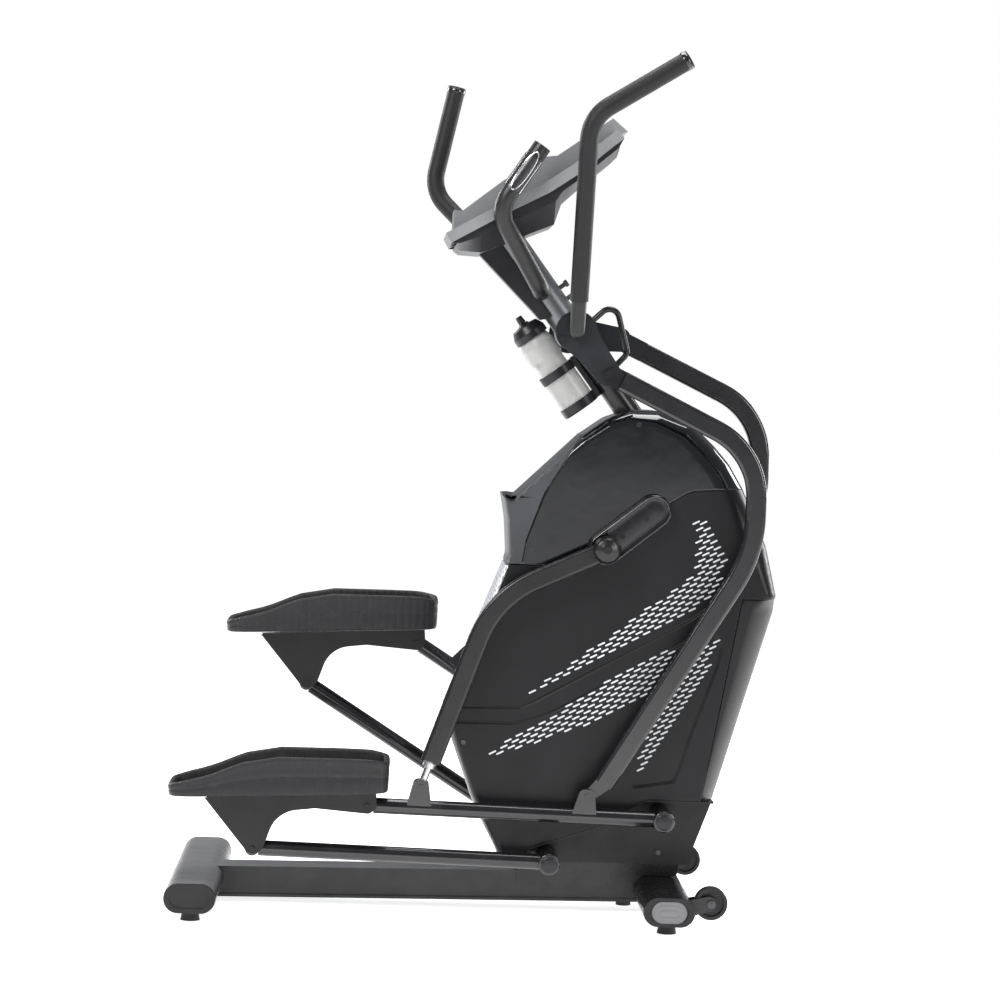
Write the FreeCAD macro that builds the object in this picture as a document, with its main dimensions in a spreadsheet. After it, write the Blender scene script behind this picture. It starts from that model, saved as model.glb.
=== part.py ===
"""Elliptical trainer, a compact centre-drive type.  Millimetres, +Z up, +X the way the user faces,
-Y the user's right.  Both pedal links swing on a pair of axles at the front of the base, the left
side exactly opposite the right side, and the model stands with the right pedal at its lowest."""
import FreeCAD, Part
import math
import os
import Sketcher

Vec = FreeCAD.Vector

# name, value, meaning
DRIVING = [
    ("beam_width", 80, "main beam, across"),
    ("beam_height", 60, "main beam, depth"),
    ("beam_wall", 2.5, "wall of the beam and the stabiliser tubes"),
    ("beam_rear_z", 40, "middle of the beam at the rear stabiliser"),
    ("beam_front_z", 54, "middle of the beam at the front stabiliser"),
    ("stabiliser_length", 580, "stabiliser tubes, across the machine"),
    ("stabiliser_width", 100, "flat-oval stabiliser section, fore and aft"),
    ("stabiliser_height", 57, "flat-oval stabiliser section, height"),
    ("rear_x", -540, "middle of the rear stabiliser"),
    ("front_x", 380, "middle of the front stabiliser"),
    ("foot_radius", 19, "levelling foot pad"),
    ("foot_height", 19, "floor to the underside of the stabilisers"),
    ("wheel_radius", 32, "transport wheel"),
    ("wheel_width", 22, "transport wheel"),
    ("wheel_z", 63, "axle height of the transport wheels"),
    ("wheel_reach", 82, "front stabiliser to wheel axle"),
    ("link_x", 374, "front axle of the upper pedal links"),
    ("link_z", 205, "front axle of the upper pedal links"),
    ("lower_x", 152, "front axle of the lower pedal links"),
    ("lower_z", 115, "front axle of the lower pedal links"),
    ("link_length", 581, "axle to pedal pivot, both links"),
    ("link_low", 1.2, "degrees above level of the link at its lowest"),
    ("link_swing", 30.8, "degrees of swing of a link"),
    ("link_radius", 15.5, "link tube, outside"),
    ("link_wall", 2.5, "link tube wall"),
    ("boss_radius", 21, "pivot boss at the front of a link"),
    ("axle_radius", 10, "fixed steel axles of the links and the crank axle"),
    ("running_fit", 0.06, "radial clearance of a bore on its axle or pin"),
    ("gap", 0.6, "clear distance between parts that move past each other"),
    ("pin_radius", 6, "pivot pins of the rods and the pedals"),
    ("crank_x", 338, "crank axle"),
    ("crank_z", 809, "crank axle"),
    ("crank_angle", 39, "degrees from level of the crank line"),
    ("rod_reach", 480, "link axle to the foot of the connecting rod"),
    ("rod_rise", 5.05, "degrees of that foot above the link"),
    ("arm_reach", 157, "link axle to the foot of the arm rod"),
    ("arm_rise", 14.8, "degrees of that foot above the link"),
    ("arm_rod_span", 828, "pivot to pivot of the arm rod"),
    ("rod_width", 40, "section of the connecting and arm rods, in plane"),
    ("rod_thickness", 20, "section of the connecting and arm rods, across"),
    ("rod_corner", 7, "corner radius of that section"),
    ("rod_wall", 2, "wall of that section"),
    ("handle_x", 171, "handle axle"),
    ("handle_z", 1157, "handle axle"),
    ("lever_length", 104, "handle axle to the head of the arm rod"),
    ("lever_plate", 10, "lever plate thickness"),
    ("handle_set", 140.4, "degrees from the lever to the handle tube"),
    ("handle_lower", 407, "handle tube, axle to bend"),
    ("handle_upper", 215, "handle tube, bend to end"),
    ("handle_bend", 57, "degrees of the handle bend"),
    ("handle_y", 260, "grip, off the middle"),
    ("handle_radius", 15, "handle tube, outside"),
    ("handle_wall", 2, "handle tube wall"),
    ("sleeve_wall", 3, "foam sleeve of a grip"),
    ("shroud_half", 104, "side face of the shroud, off the middle"),
    ("shroud_flat", 52, "where the side of the shroud starts to close in"),
    ("shroud_wall", 3, "shroud moulding wall"),
    ("base_half", 62, "half width of the base cover"),
    ("seam", 0.8, "open seam between mouldings"),
    ("cover_gap", 3, "shroud to the crank cover"),
    ("cover_depth", 23, "crank cover, across"),
    ("cover_radius", 34, "round ends of the crank cover"),
    ("cover_wall", 2.5, "crank cover wall"),
    ("cheek", 4, "frame cheek plate thickness"),
    ("mast_lean", 37, "degrees of the mast from upright"),
    ("hub_radius", 32, "cross tube that carries the handles, outside"),
    ("hub_half", 110, "cross tube, half length"),
    ("mast_radius", 25, "lower mast tube, outside"),
    ("neck_radius", 30, "upper mast tube, outside"),
    ("neck_length", 230, "handle axle to the top of the upper mast tube"),
    ("mast_wall", 2.5, "wall of both mast tubes"),
    ("pedal_y", 150, "middle of a pedal, off the middle"),
    ("pedal_width", 170, "pedal tray, across"),
    ("pedal_front", 41, "pedal pivot to the toe of the tray"),
    ("pedal_rear", 386, "pedal pivot to the tail of the tray"),
    ("pedal_top", 100, "pedal pivot to the rim of the tray"),
    ("pedal_floor", 40, "pedal pivot to the underside of the tray, at the toe"),
    ("pedal_wall", 6, "pedal tray wall"),
    ("bracket_sheet", 3, "pedal bracket sheet"),
    ("bracket_inside", 34, "pedal bracket, clear width"),
    ("bearing_radius", 21, "crank bearings, outside"),
    ("pulley_radius", 120, "drive pulley"),
    ("pulley_width", 18, "drive pulley and belt track"),
    ("wheel_pulley_radius", 22, "small pulley on the flywheel"),
    ("flywheel_radius", 125, "flywheel"),
    ("flywheel_width", 26, "flywheel rim"),
    ("flywheel_x", 250, "flywheel axle"),
    ("flywheel_z", 440, "flywheel axle"),
    ("console_half", 162, "half width of the console"),
    ("pod_half", 95, "half width of the raised display pod"),
    ("console_band", 22, "depth of the console side band"),
    ("console_wall", 2.5, "console moulding wall"),
    ("bar_radius", 18, "fixed grip bar, outside"),
    ("bar_wall", 2.5, "fixed grip bar wall"),
    ("bar_half", 186, "fixed grips, off the middle"),
    ("loop_wire", 6, "radius of the guard loop wire"),
    ("bottle_radius", 36, "bottle"),
    ("bottle_length", 168, "bottle, base to cap"),
    ("bottle_offset", 72, "bottle axis to mast axis"),
]

doc = FreeCAD.newDocument("elliptical_trainer")
sheet = doc.addObject("Spreadsheet::Sheet", "Sizes")
NODES = []


def fill_sheet():
    """Writes every driving dimension to its own row: name, value, meaning."""
    for row, (name, value, meaning) in enumerate(DRIVING, start=1):
        sheet.set("A%d" % row, name)
        sheet.set("B%d" % row, str(value))
        sheet.set("C%d" % row, meaning)
        sheet.setAlias("B%d" % row, name)
    doc.recompute()


def bind_text(text):
    """Turns $name into the sheet's own reference."""
    return text.replace("$", "Sizes.")


def num(text):
    """The present value of an expression on the sheet."""
    return float(sheet.evalExpression(bind_text(text)))


def bind(obj, prop, text):
    obj.setExpression(prop, bind_text(text))


def keep(obj, label):
    """Registers a finished sub-part under its node name."""
    obj.Label = label
    NODES.append(obj)
    return obj


def polar(centre, radius, degrees):
    """A point of the XZ plane at a distance and an angle from level."""
    turn = math.radians(degrees)
    return (centre[0] + radius * math.cos(turn), centre[1] + radius * math.sin(turn))


def heading(start, end):
    return math.degrees(math.atan2(end[1] - start[1], end[0] - start[0]))


def lean(degrees):
    """Rotation that turns +X up to an angle from level, about the Y axis."""
    return FreeCAD.Rotation(Vec(0, 1, 0), -degrees)


def stand(obj, x, y, z, rotation=None):
    obj.Placement = FreeCAD.Placement(Vec(x, y, z), rotation or FreeCAD.Rotation())
    return obj


# ---------------------------------------------------------------- drawing helpers

def outline_edges(points):
    """Lines and tangent arcs of a closed outline; a point is (x, z) or (x, z, corner radius)."""
    count = len(points)
    starts = []
    for index, point in enumerate(points):
        here = Vec(point[0], point[1], 0)
        radius = point[2] if len(point) > 2 else 0
        if not radius:
            starts.append((here, None, here))
            continue
        before = Vec(*points[index - 1][:2], 0) - here
        after = Vec(*points[(index + 1) % count][:2], 0) - here
        before.normalize()
        after.normalize()
        half = before.getAngle(after) / 2
        reach = radius / math.tan(half)
        inward = before + after
        inward.normalize()
        middle = here + inward * (radius / math.sin(half) - radius)
        starts.append((here + before * reach, middle, here + after * reach))
    edges = []
    for index, (enter, middle, leave) in enumerate(starts):
        if middle:
            edges.append(Part.Arc(enter, middle, leave))
        following = starts[(index + 1) % count][0]
        if leave.distanceToPoint(following) > 1e-6:
            edges.append(Part.LineSegment(leave, following))
    return edges


def sketch_on(body, role, offset=0):
    sketch = body.newObject("Sketcher::SketchObject", "Sketch")
    plane = [item for item in body.Origin.OriginFeatures if item.Role == role][0]
    sketch.AttachmentSupport = [(plane, "")]
    sketch.MapMode = "FlatFace"
    sketch.AttachmentOffset = FreeCAD.Placement(Vec(0, 0, offset), FreeCAD.Rotation())
    return sketch


def prism(points, thickness, y=0.0, at=(0, 0), turn=0.0, holes=()):
    """A plate in the XZ plane, even about y: outline, thickness expression, round holes
    (x, z, radius expression)."""
    body = doc.addObject("PartDesign::Body", "Plate")
    sketch = sketch_on(body, "XZ_Plane")
    for edge in outline_edges(points):
        sketch.addGeometry(edge, False)
    for x, z, radius in holes:
        ring = sketch.addGeometry(Part.Circle(Vec(x, z, 0), Vec(0, 0, 1), num(radius)), False)
        place = sketch.addConstraint(Sketcher.Constraint("Radius", ring, num(radius)))
        bind(sketch, "Constraints[%d]" % place, radius)
    pad = body.newObject("PartDesign::Pad", "Pad")
    pad.Profile = sketch
    pad.SideType = "Symmetric"
    bind(pad, "Length", thickness)
    return stand(body, at[0], y, at[1], lean(turn))


def level_plate(points, thickness, z=0.0, at=(0, 0)):
    """A plate in the XY plane, z upwards from its underside."""
    body = doc.addObject("PartDesign::Body", "Plate")
    sketch = sketch_on(body, "XY_Plane")
    for edge in outline_edges(points):
        sketch.addGeometry(edge, False)
    pad = body.newObject("PartDesign::Pad", "Pad")
    pad.Profile = sketch
    bind(pad, "Length", thickness)
    return stand(body, at[0], at[1], z)


def turned(profile, x, y, z, outward=1):
    """A solid of revolution about a line along Y; the profile is (radius, distance along Y)."""
    body = doc.addObject("PartDesign::Body", "Turned")
    sketch = sketch_on(body, "XY_Plane")
    for edge in outline_edges(profile):
        sketch.addGeometry(edge, False)
    revolution = body.newObject("PartDesign::Revolution", "Revolution")
    revolution.Profile = sketch
    axis = [item for item in body.Origin.OriginFeatures if item.Role == "Y_Axis"][0]
    revolution.ReferenceAxis = (axis, [""])
    revolution.Angle = 360
    flip = FreeCAD.Rotation(Vec(1, 0, 0), 0 if outward > 0 else 180)
    return stand(body, x, y, z, flip)


def cylinder_y(radius, length, x, y, z):
    """A cylinder along Y, even about y."""
    rod = doc.addObject("Part::Cylinder", "Cylinder")
    bind(rod, "Radius", radius)
    bind(rod, "Height", length)
    return stand(rod, x, y - num(length) / 2, z, FreeCAD.Rotation(Vec(1, 0, 0), -90))


def cylinder_along(radius, length, start, direction):
    rod = doc.addObject("Part::Cylinder", "Cylinder")
    bind(rod, "Radius", radius)
    bind(rod, "Height", length)
    return stand(rod, *start, FreeCAD.Rotation(Vec(0, 0, 1), Vec(*direction)))


def fused(parts):
    if len(parts) == 1:
        return parts[0]
    union = doc.addObject("Part::MultiFuse", "Fusion")
    union.Shapes = list(parts)
    return union


def cut(base, tools):
    result = doc.addObject("Part::Cut", "Cut")
    result.Base = base
    result.Tool = fused(tools)
    return result


def common(one, other):
    result = doc.addObject("Part::Common", "Common")
    result.Base = one
    result.Tool = other
    return result


def group(parts):
    """Separate solids that share a node."""
    result = doc.addObject("Part::Compound", "Group")
    result.Links = list(parts)
    return result


# ---------------------------------------------------------------- bent tubes

def route_wire(points, bends):
    """Straight runs joined by tangent arcs, one bend radius for each inner point."""
    places = [Vec(*point) for point in points]
    edges = []
    last = places[0]
    for index in range(1, len(places) - 1):
        here = places[index]
        before = places[index - 1] - here
        after = places[index + 1] - here
        before.normalize()
        after.normalize()
        half = before.getAngle(after) / 2
        reach = bends[index - 1] / math.tan(half)
        inward = before + after
        inward.normalize()
        middle = here + inward * (bends[index - 1] / math.sin(half) - bends[index - 1])
        edges.append(Part.LineSegment(last, here + before * reach).toShape())
        edges.append(Part.Arc(here + before * reach, middle, here + after * reach).toShape())
        last = here + after * reach
    edges.append(Part.LineSegment(last, places[-1]).toShape())
    wire = doc.addObject("Part::Feature", "Route")
    wire.Shape = Part.Wire(edges)
    return wire


def sweep(section, wire):
    result = doc.addObject("Part::Sweep", "Sweep")
    result.Sections = [section]
    result.Spine = (wire, ["Edge%d" % (number + 1) for number in range(len(wire.Shape.Edges))])
    result.Solid = True
    result.Frenet = False
    return result


def facing(points):
    """Placement of a section at the start of a route, square to its first run."""
    start = Vec(*points[0])
    return FreeCAD.Placement(start, FreeCAD.Rotation(Vec(0, 0, 1), Vec(*points[1]) - start))


def round_bar(points, bends, radius):
    """A round bar of the given radius expression along a route."""
    wire = route_wire(points, bends)
    ring = doc.addObject("Part::Circle", "Section")
    bind(ring, "Radius", radius)
    ring.Placement = facing(points)
    return sweep(ring, wire)


def round_tube(points, bends, radius, wall):
    outer = round_bar(points, bends, radius)
    inner = round_bar(points, bends, "%s - (%s)" % (radius, wall))
    return cut(outer, [inner])


def flat_section(width, depth, corner, points):
    """A rounded rectangle, its longer side in the XZ plane, square to the first run."""
    start = Vec(points[0][0], 0, points[0][1])
    along = Vec(points[1][0], 0, points[1][1]) - start
    along.normalize()
    side = Vec(0, 1, 0).cross(along)
    half, thick = width / 2, depth / 2
    corners = [(-half, -thick, corner), (half, -thick, corner), (half, thick, corner),
               (-half, thick, corner)]
    place = FreeCAD.Matrix(side.x, 0, along.x, start.x, side.y, 1, along.y, start.y,
                           side.z, 0, along.z, start.z, 0, 0, 0, 1)
    shape = Part.Wire([edge.toShape() for edge in outline_edges(corners)])
    section = doc.addObject("Part::Feature", "Section")
    section.Shape = shape.transformGeometry(FreeCAD.Matrix())
    section.Placement = FreeCAD.Placement(place)
    return section


def flat_tube(points, bends, y):
    """Rounded rectangular tube in the plane y: the rods' own section."""
    wide, deep, wall = num("$rod_width"), num("$rod_thickness"), num("$rod_wall")
    corner = num("$rod_corner")
    spots = [(x, 0, z) for x, z in points]
    wire = route_wire(spots, bends)
    outer = sweep(flat_section(wide, deep, corner, points), wire)
    inner = sweep(flat_section(wide - 2 * wall, deep - 2 * wall, corner - wall, points), wire)
    return stand(cut(outer, [inner]), 0, y, 0)


# ---------------------------------------------------------------- the mechanism

class Side:
    """The pivots of one side at rest: the right side low, the left side high."""

    def __init__(self, name, sign, raised):
        self.name = name
        self.sign = sign
        self.link_axle = (num("$link_x"), num("$link_z"))
        self.lower_axle = (num("$lower_x"), num("$lower_z"))
        self.turn = 180 - num("$link_low") - (num("$link_swing") if raised else 0)
        self.pedal = polar(self.link_axle, num("$link_length"), self.turn)
        self.toe = polar(self.lower_axle, num("$link_length"), self.turn)
        self.rod_foot = polar(self.link_axle, num("$rod_reach"), self.turn - num("$rod_rise"))
        self.arm_foot = polar(self.link_axle, num("$arm_reach"), self.turn - num("$arm_rise"))
        self.crank = (num("$crank_x"), num("$crank_z"))
        self.rod_head = polar(self.crank, crank_throw(), num("$crank_angle") + (0 if raised else 180))
        self.handle = (num("$handle_x"), num("$handle_z"))
        self.lever_turn = lever_angle(self.handle, self.arm_foot)
        self.arm_head = polar(self.handle, num("$lever_length"), self.lever_turn)

    def at(self, text):
        """An expression's value as a place on this side, off the middle."""
        return self.sign * num(text)


def crank_throw():
    """Crank radius that closes the linkage at both ends of the swing with one rod length."""
    axle = Vec(num("$link_x") - num("$crank_x"), num("$link_z") - num("$crank_z"), 0)
    low = 180 - num("$link_low") - num("$rod_rise")
    feet = [polar((0, 0), num("$rod_reach"), low - turn) for turn in (0, num("$link_swing"))]
    near = axle + Vec(*feet[0], 0)
    far = axle + Vec(*feet[1], 0)
    pin = Vec(*polar((0, 0), 1, num("$crank_angle") + 180), 0)
    return (near.dot(near) - far.dot(far)) / (2 * pin.dot(near + far))


def lever_angle(handle, foot):
    """Direction of the lever whose end is one arm rod away from the rod's foot."""
    reach = math.hypot(foot[0] - handle[0], foot[1] - handle[1])
    lever, span = num("$lever_length"), num("$arm_rod_span")
    corner = math.acos((lever ** 2 + reach ** 2 - span ** 2) / (2 * lever * reach))
    return heading(handle, foot) + math.degrees(corner)


ROD_Y = "($shroud_half + $cover_gap + $cover_depth + $rod_thickness)"
BOSS_START = "($base_half + 4)"
BOSS_END = "(%s + $link_radius + 16)" % ROD_Y
LEVER_Y = "(%s - $rod_thickness / 2 - 5 - $gap - $lever_plate / 2)" % ROD_Y
PULLEY_Y = 21
FLYWHEEL_Y = -20


# ---------------------------------------------------------------- base

def oval(width, height):
    """Outline of a flat-oval section, centred."""
    half, end = width / 2, height / 2
    return [(-half, -end, end - 0.01), (half, -end, end - 0.01), (half, end, end - 0.01),
            (-half, end, end - 0.01)]


def stabiliser_z():
    return num("$foot_height + $stabiliser_height / 2")


def beam_tilt():
    return heading((num("$rear_x"), num("$beam_rear_z")), (num("$front_x"), num("$beam_front_z")))


def beam_z(x):
    """Middle of the beam at a place along it."""
    share = (x - num("$rear_x")) / num("$front_x - $rear_x")
    return num("$beam_rear_z") + share * num("$beam_front_z - $beam_rear_z")


def main_beam():
    """Rectangular tube coped to both stabilisers, with a lip along its lower edge."""
    start = (num("$rear_x"), num("$beam_rear_z"))
    length = math.dist(start, (num("$front_x"), num("$beam_front_z")))
    high, wall = num("$beam_height"), num("$beam_wall")
    lip = 5
    shell = [(0, -high / 2), (length, -high / 2), (length, high / 2), (0, high / 2)]
    bore = [(-1, -high / 2 + wall), (length + 1, -high / 2 + wall),
            (length + 1, high / 2 - wall), (-1, high / 2 - wall)]
    edge = [(0, -high / 2), (length, -high / 2), (length, -high / 2 + lip), (0, -high / 2 + lip)]
    tube = cut(prism(shell, "$beam_width"), [prism(bore, "$beam_width - 2 * $beam_wall")])
    lips = cut(prism(edge, "$beam_width + 12"), [prism(edge, "$beam_width - 2 * $beam_wall")])
    beam = stand(fused([tube, lips]), start[0], 0, start[1], lean(beam_tilt()))
    ends = [stabiliser_solid(num("$rear_x")), stabiliser_solid(num("$front_x"))]
    keep(cut(beam, ends), "main_beam")


def stabiliser_solid(x):
    """The outer form of a stabiliser."""
    section = oval(num("$stabiliser_width"), num("$stabiliser_height"))
    return prism(section, "$stabiliser_length", at=(x, stabiliser_z()))


def stabiliser(x):
    """Flat-oval tube across the machine."""
    return cut(stabiliser_solid(x), [stabiliser_bore(x)])


def stabiliser_bore(x):
    section = oval(num("$stabiliser_width - 2 * $beam_wall"),
                   num("$stabiliser_height - 2 * $beam_wall"))
    return prism(section, "$stabiliser_length + 2", at=(x, stabiliser_z()))


def front_stabiliser():
    """Front tube with the welded plates that carry the transport wheels."""
    x = num("$front_x")
    axle_x = x + num("$wheel_reach")
    plates = []
    for sign in (-1, 1):
        for inner in (-1, 1):
            y = sign * wheel_y() + inner * num("$wheel_width / 2 + $gap + 2")
            lug = [(axle_x - 52, stabiliser_z() - 12, 4), (axle_x, num("$wheel_z") - 14, 13),
                   (axle_x + 15, num("$wheel_z"), 13), (axle_x, num("$wheel_z") + 16, 13),
                   (axle_x - 44, stabiliser_z() + 22, 4)]
            plates.append(prism(lug, "4", y, holes=[(axle_x, num("$wheel_z"), "5")]))
    keep(cut(fused([stabiliser_solid(x)] + plates), [stabiliser_bore(x)]), "front_stabiliser")


def wheel_y():
    return num("$stabiliser_length / 2 - $wheel_width - 6")


def end_caps():
    """Moulded caps in the four open ends of the stabilisers, each with a sunk oval panel."""
    caps = []
    for x in (num("$rear_x"), num("$front_x")):
        for sign in (-1, 1):
            y = sign * num("$stabiliser_length / 2 + 3.2")
            rim = prism(oval(num("$stabiliser_width - 1"), num("$stabiliser_height - 1")), "6",
                        y, (x, stabiliser_z()))
            sink = prism(oval(num("$stabiliser_width - 24"), num("$stabiliser_height - 20")), "5",
                         y + sign * 3, (x, stabiliser_z()))
            caps.append(cut(rim, [sink]))
    keep(group(caps), "stabiliser_end_caps")


def levelling_feet():
    """Four screwed feet under the stabilisers and a low stop under the middle of the beam."""
    feet = []
    for x in (num("$rear_x"), num("$front_x")):
        for sign in (-1, 1):
            foot = doc.addObject("Part::Cone", "Foot")
            bind(foot, "Radius1", "$foot_radius")
            bind(foot, "Radius2", "$foot_radius * 0.8")
            bind(foot, "Height", "$foot_height - 0.1")
            feet.append(stand(foot, x, sign * num("$stabiliser_length / 2 - 42"), 0))
    stop_x = num("$front_x - 66")
    top = beam_z(stop_x) - num("$beam_height / 2") - 1.5
    stop = doc.addObject("Part::Cylinder", "Stop")
    stop.Radius = 15
    stop.Height = 12
    feet.append(stand(stop, stop_x, 0, top - 12))
    keep(group(feet), "levelling_feet")


def transport_wheels():
    """Moulded wheels with a rim, a web and a hub that runs on a bolt."""
    x = num("$front_x + $wheel_reach")
    rim, half = num("$wheel_radius"), num("$wheel_width / 2")
    bore = num("4 + $running_fit")
    profile = [(bore, -half), (13, -half), (13, -4), (rim - 7, -4), (rim - 7, -half),
               (rim, -half, 2), (rim, half, 2), (rim - 7, half), (rim - 7, 4), (13, 4),
               (13, half), (bore, half)]
    for name, sign in (("right", -1), ("left", 1)):
        keep(turned(profile, x, sign * wheel_y(), num("$wheel_z")), name + "_transport_wheel")


def frame_bolts():
    """Wheel bolts and the two clamp bolts that stand out of the front of the upper mast."""
    bolts = []
    x = num("$front_x + $wheel_reach")
    for sign in (-1, 1):
        shank = cylinder_y("4", "$wheel_width + 22", x, sign * wheel_y(), num("$wheel_z"))
        head = cylinder_y("8", "4", x, sign * (wheel_y() + num("$wheel_width / 2") + 7),
                          num("$wheel_z"))
        bolts.append(fused([shank, head]))
    out = mast_point(0, 1, (0, 0))
    for along in (62, 88):
        pieces = []
        for radius, length, lift in (("4.5", "12", 0.1), ("7", "7", 12)):
            spot = mast_point(along, num("$neck_radius") + lift)
            pieces.append(cylinder_along(radius, length, (spot[0], 0, spot[1]),
                                         (out[0], 0, out[1])))
        bolts.append(fused(pieces))
    return bolts


def mast_point(along, across, origin=None):
    """A point from the handle axle: so far up the mast, so far to its front."""
    turn = 90 + num("$mast_lean")
    start = origin or (num("$handle_x"), num("$handle_z"))
    return polar(polar(start, along, turn), across, turn - 90)


# ---------------------------------------------------------------- frame and mast

def frame_upright():
    """Two cheek plates welded to the beam, spacers between them, and the lower mast tube."""
    link, lower = (num("$link_x"), num("$link_z")), (num("$lower_x"), num("$lower_z"))
    crank = (num("$crank_x"), num("$crank_z"))
    wheel = (num("$flywheel_x"), num("$flywheel_z"))
    foot = mast_point(-235, 0)
    holes = [(link[0], link[1], "$axle_radius"), (lower[0], lower[1], "$axle_radius"),
             (crank[0], crank[1], "$bearing_radius"), (wheel[0], wheel[1], "$axle_radius")]
    step = num("$front_x - $stabiliser_width / 2") - 1
    over = num("$foot_height + $stabiliser_height") + 0.6
    plate = [(lower[0] - 55, 52, 8), (step, 52), (step, over), (link[0] + 42, over, 8),
             (link[0] + 62, link[1] + 60, 60), (crank[0] + 78, crank[1] - 60, 60),
             (crank[0] + 60, crank[1] + 95, 40), (foot[0] + 30, foot[1] + 16, 12),
             (foot[0] - 26, foot[1] + 12, 12),
             (crank[0] - 62, crank[1] - 40, 60), (wheel[0] - 85, wheel[1] + 40, 60),
             (lower[0] - 62, lower[1] + 60, 30)]
    cheeks = [prism(plate, "$cheek", sign * num("($beam_width + $cheek) / 2"), holes=holes)
              for sign in (-1, 1)]
    spacers = []
    for x, z in ((link[0] + 30, link[1] + 100), (lower[0] - 20, lower[1] + 100), foot):
        spacers.append(cylinder_y("12", "$beam_width + 0.2", x, 0, z))
    tube = mast_tube("$mast_radius", -240, 220)
    bore = mast_tube("$mast_radius - $mast_wall", -241, 240)
    hub = cylinder_y("$hub_radius + 0.2", "2 * $hub_half", *hub_place())
    keep(fused(cheeks + spacers + [cut(tube, [bore, hub])]), "frame_upright")


def hub_place():
    return num("$handle_x"), 0, num("$handle_z")


def mast_tube(radius, start, length):
    """A cylinder on the mast's own line, from a place along it."""
    foot = mast_point(start, 0)
    direction = mast_point(1, 0, (0, 0))
    return cylinder_along(radius, str(length), (foot[0], 0, foot[1]),
                          (direction[0], 0, direction[1]))


def console_mast():
    """Cross tube that carries the handles, and the upper mast tube up to the console."""
    hub = cylinder_y("$hub_radius", "2 * $hub_half", *hub_place())
    neck = mast_tube("$neck_radius", 0, num("$neck_length"))
    bore = mast_tube("$neck_radius - $mast_wall", num("$hub_radius") - 4, num("$neck_length"))
    axle = cylinder_y("$axle_radius", "2 * $hub_half + 2", *hub_place())
    keep(cut(fused([hub, neck]), [bore, axle, console_block(), grip_bar("$bar_radius")]),
         "console_mast")


def mast_fairing():
    """Dark moulding behind the upper mast, deeper towards the console."""
    top = num("$neck_length") + 24
    rear = num("$neck_radius")
    spots = [(48, -rear + 12), (58, -rear - 10), (top, -rear - 38), (top, -rear + 12)]
    wedge = prism([mast_point(*spot) + (3,) for spot in spots], "2 * $neck_radius - 4")
    neck = mast_tube("$neck_radius + 0.1", 0, num("$neck_length") + 60)
    hub = cylinder_y("$hub_radius + 0.2", "2 * $hub_half", *hub_place())
    keep(cut(wedge, [neck, hub, console_block(), grip_bar("$bar_radius + 0.1")]), "mast_fairing")


def fixed_axles():
    """The steel axles that stand still: upper and lower links, flywheel, brake pivot, handles."""
    reach = "2 * (%s - 8)" % BOSS_END
    axles = [cylinder_y("$axle_radius", reach, num("$link_x"), 0, num("$link_z")),
             cylinder_y("$axle_radius", reach, num("$lower_x"), 0, num("$lower_z")),
             cylinder_y("$axle_radius", "$beam_width + 12", num("$flywheel_x"), 0,
                        num("$flywheel_z")),
             cylinder_y("5", "$beam_width - 0.4", *brake_pivot()),
             cylinder_y("$axle_radius", "2 * (%s)" % LEVER_Y, *hub_place())]
    keep(group(axles), "fixed_axles")


def guard_loop():
    """Bent wire loop in front of the mast, above and below the handle axle."""
    wire = [mast_point(-6, num("$hub_radius") - 6), mast_point(3, 106), mast_point(-98, 66),
            mast_point(-106, num("$mast_radius") - 5)]
    bar = round_bar([(x, 0, z) for x, z in wire], [20, 20], "$loop_wire")
    ends = [cylinder_y("$hub_radius", "$beam_width", *hub_place()),
            mast_tube("$mast_radius", -200, 200)]
    keep(cut(bar, ends), "guard_loop")


# ---------------------------------------------------------------- grips and console

# up the mast and to its front: elbow, knee and end of the fixed grip bar
BAR_LINE = ((104, -8), (282, 6), (333, 148))


def grip_bar(radius):
    """The fixed grip bar: one tube through the upper mast, splayed out, up and forward."""
    half = num("$bar_half")
    elbow, knee, top = BAR_LINE
    run = [mast_point(*top), mast_point(*knee), mast_point(*elbow)]
    reach = [half, half, half - 96]
    points = [(x, -y, z) for (x, z), y in zip(run, reach)]
    points += [(x, y, z) for (x, z), y in reversed(list(zip(run, reach)))]
    return round_bar(points, [60, 40, 40, 60], radius)


def pulse_handlebar():
    keep(cut(grip_bar("$bar_radius"), [grip_bar("$bar_radius - $bar_wall")]), "pulse_handlebar")


def pulse_sensors():
    """Curved contact plates let into the two fixed grips."""
    plates = []
    knee, top = mast_point(*BAR_LINE[1]), mast_point(*BAR_LINE[2])
    for sign in (-1, 1):
        start = Vec(top[0], sign * num("$bar_half"), top[1])
        end = Vec(knee[0], sign * num("$bar_half"), knee[1])
        along = end - start
        along.normalize()
        place = start + along * 28
        shell = cylinder_along("$bar_radius + 1.6", "74", tuple(place), tuple(along))
        core = cylinder_along("$bar_radius + 0.05", "76", tuple(place - along), tuple(along))
        plates.append(cut(shell, [core]))
    keep(group(plates), "pulse_sensors")


CONSOLE_RIM = [(-80, 1320), (28, 1382), (108, 1424), (166, 1464), (249, 1535)]


def console_points(shift):
    """The rim line of the console from the user's end to the far end, moved up or down square
    to its own slope."""
    points = []
    last = len(CONSOLE_RIM) - 1
    for index, spot in enumerate(CONSOLE_RIM):
        before = CONSOLE_RIM[max(index - 1, 0)]
        after = CONSOLE_RIM[min(index + 1, last)]
        points.append(polar(spot, shift, heading(before, after) + 90))
    return points


# underside of the console, from the far end back to the user's end
CONSOLE_UNDER = [(238, 1500), (170, 1441), (133, 1406), (120, 1365), (56, 1338), (12, 1318),
                 (-22, 1305), (-62, 1307)]


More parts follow.
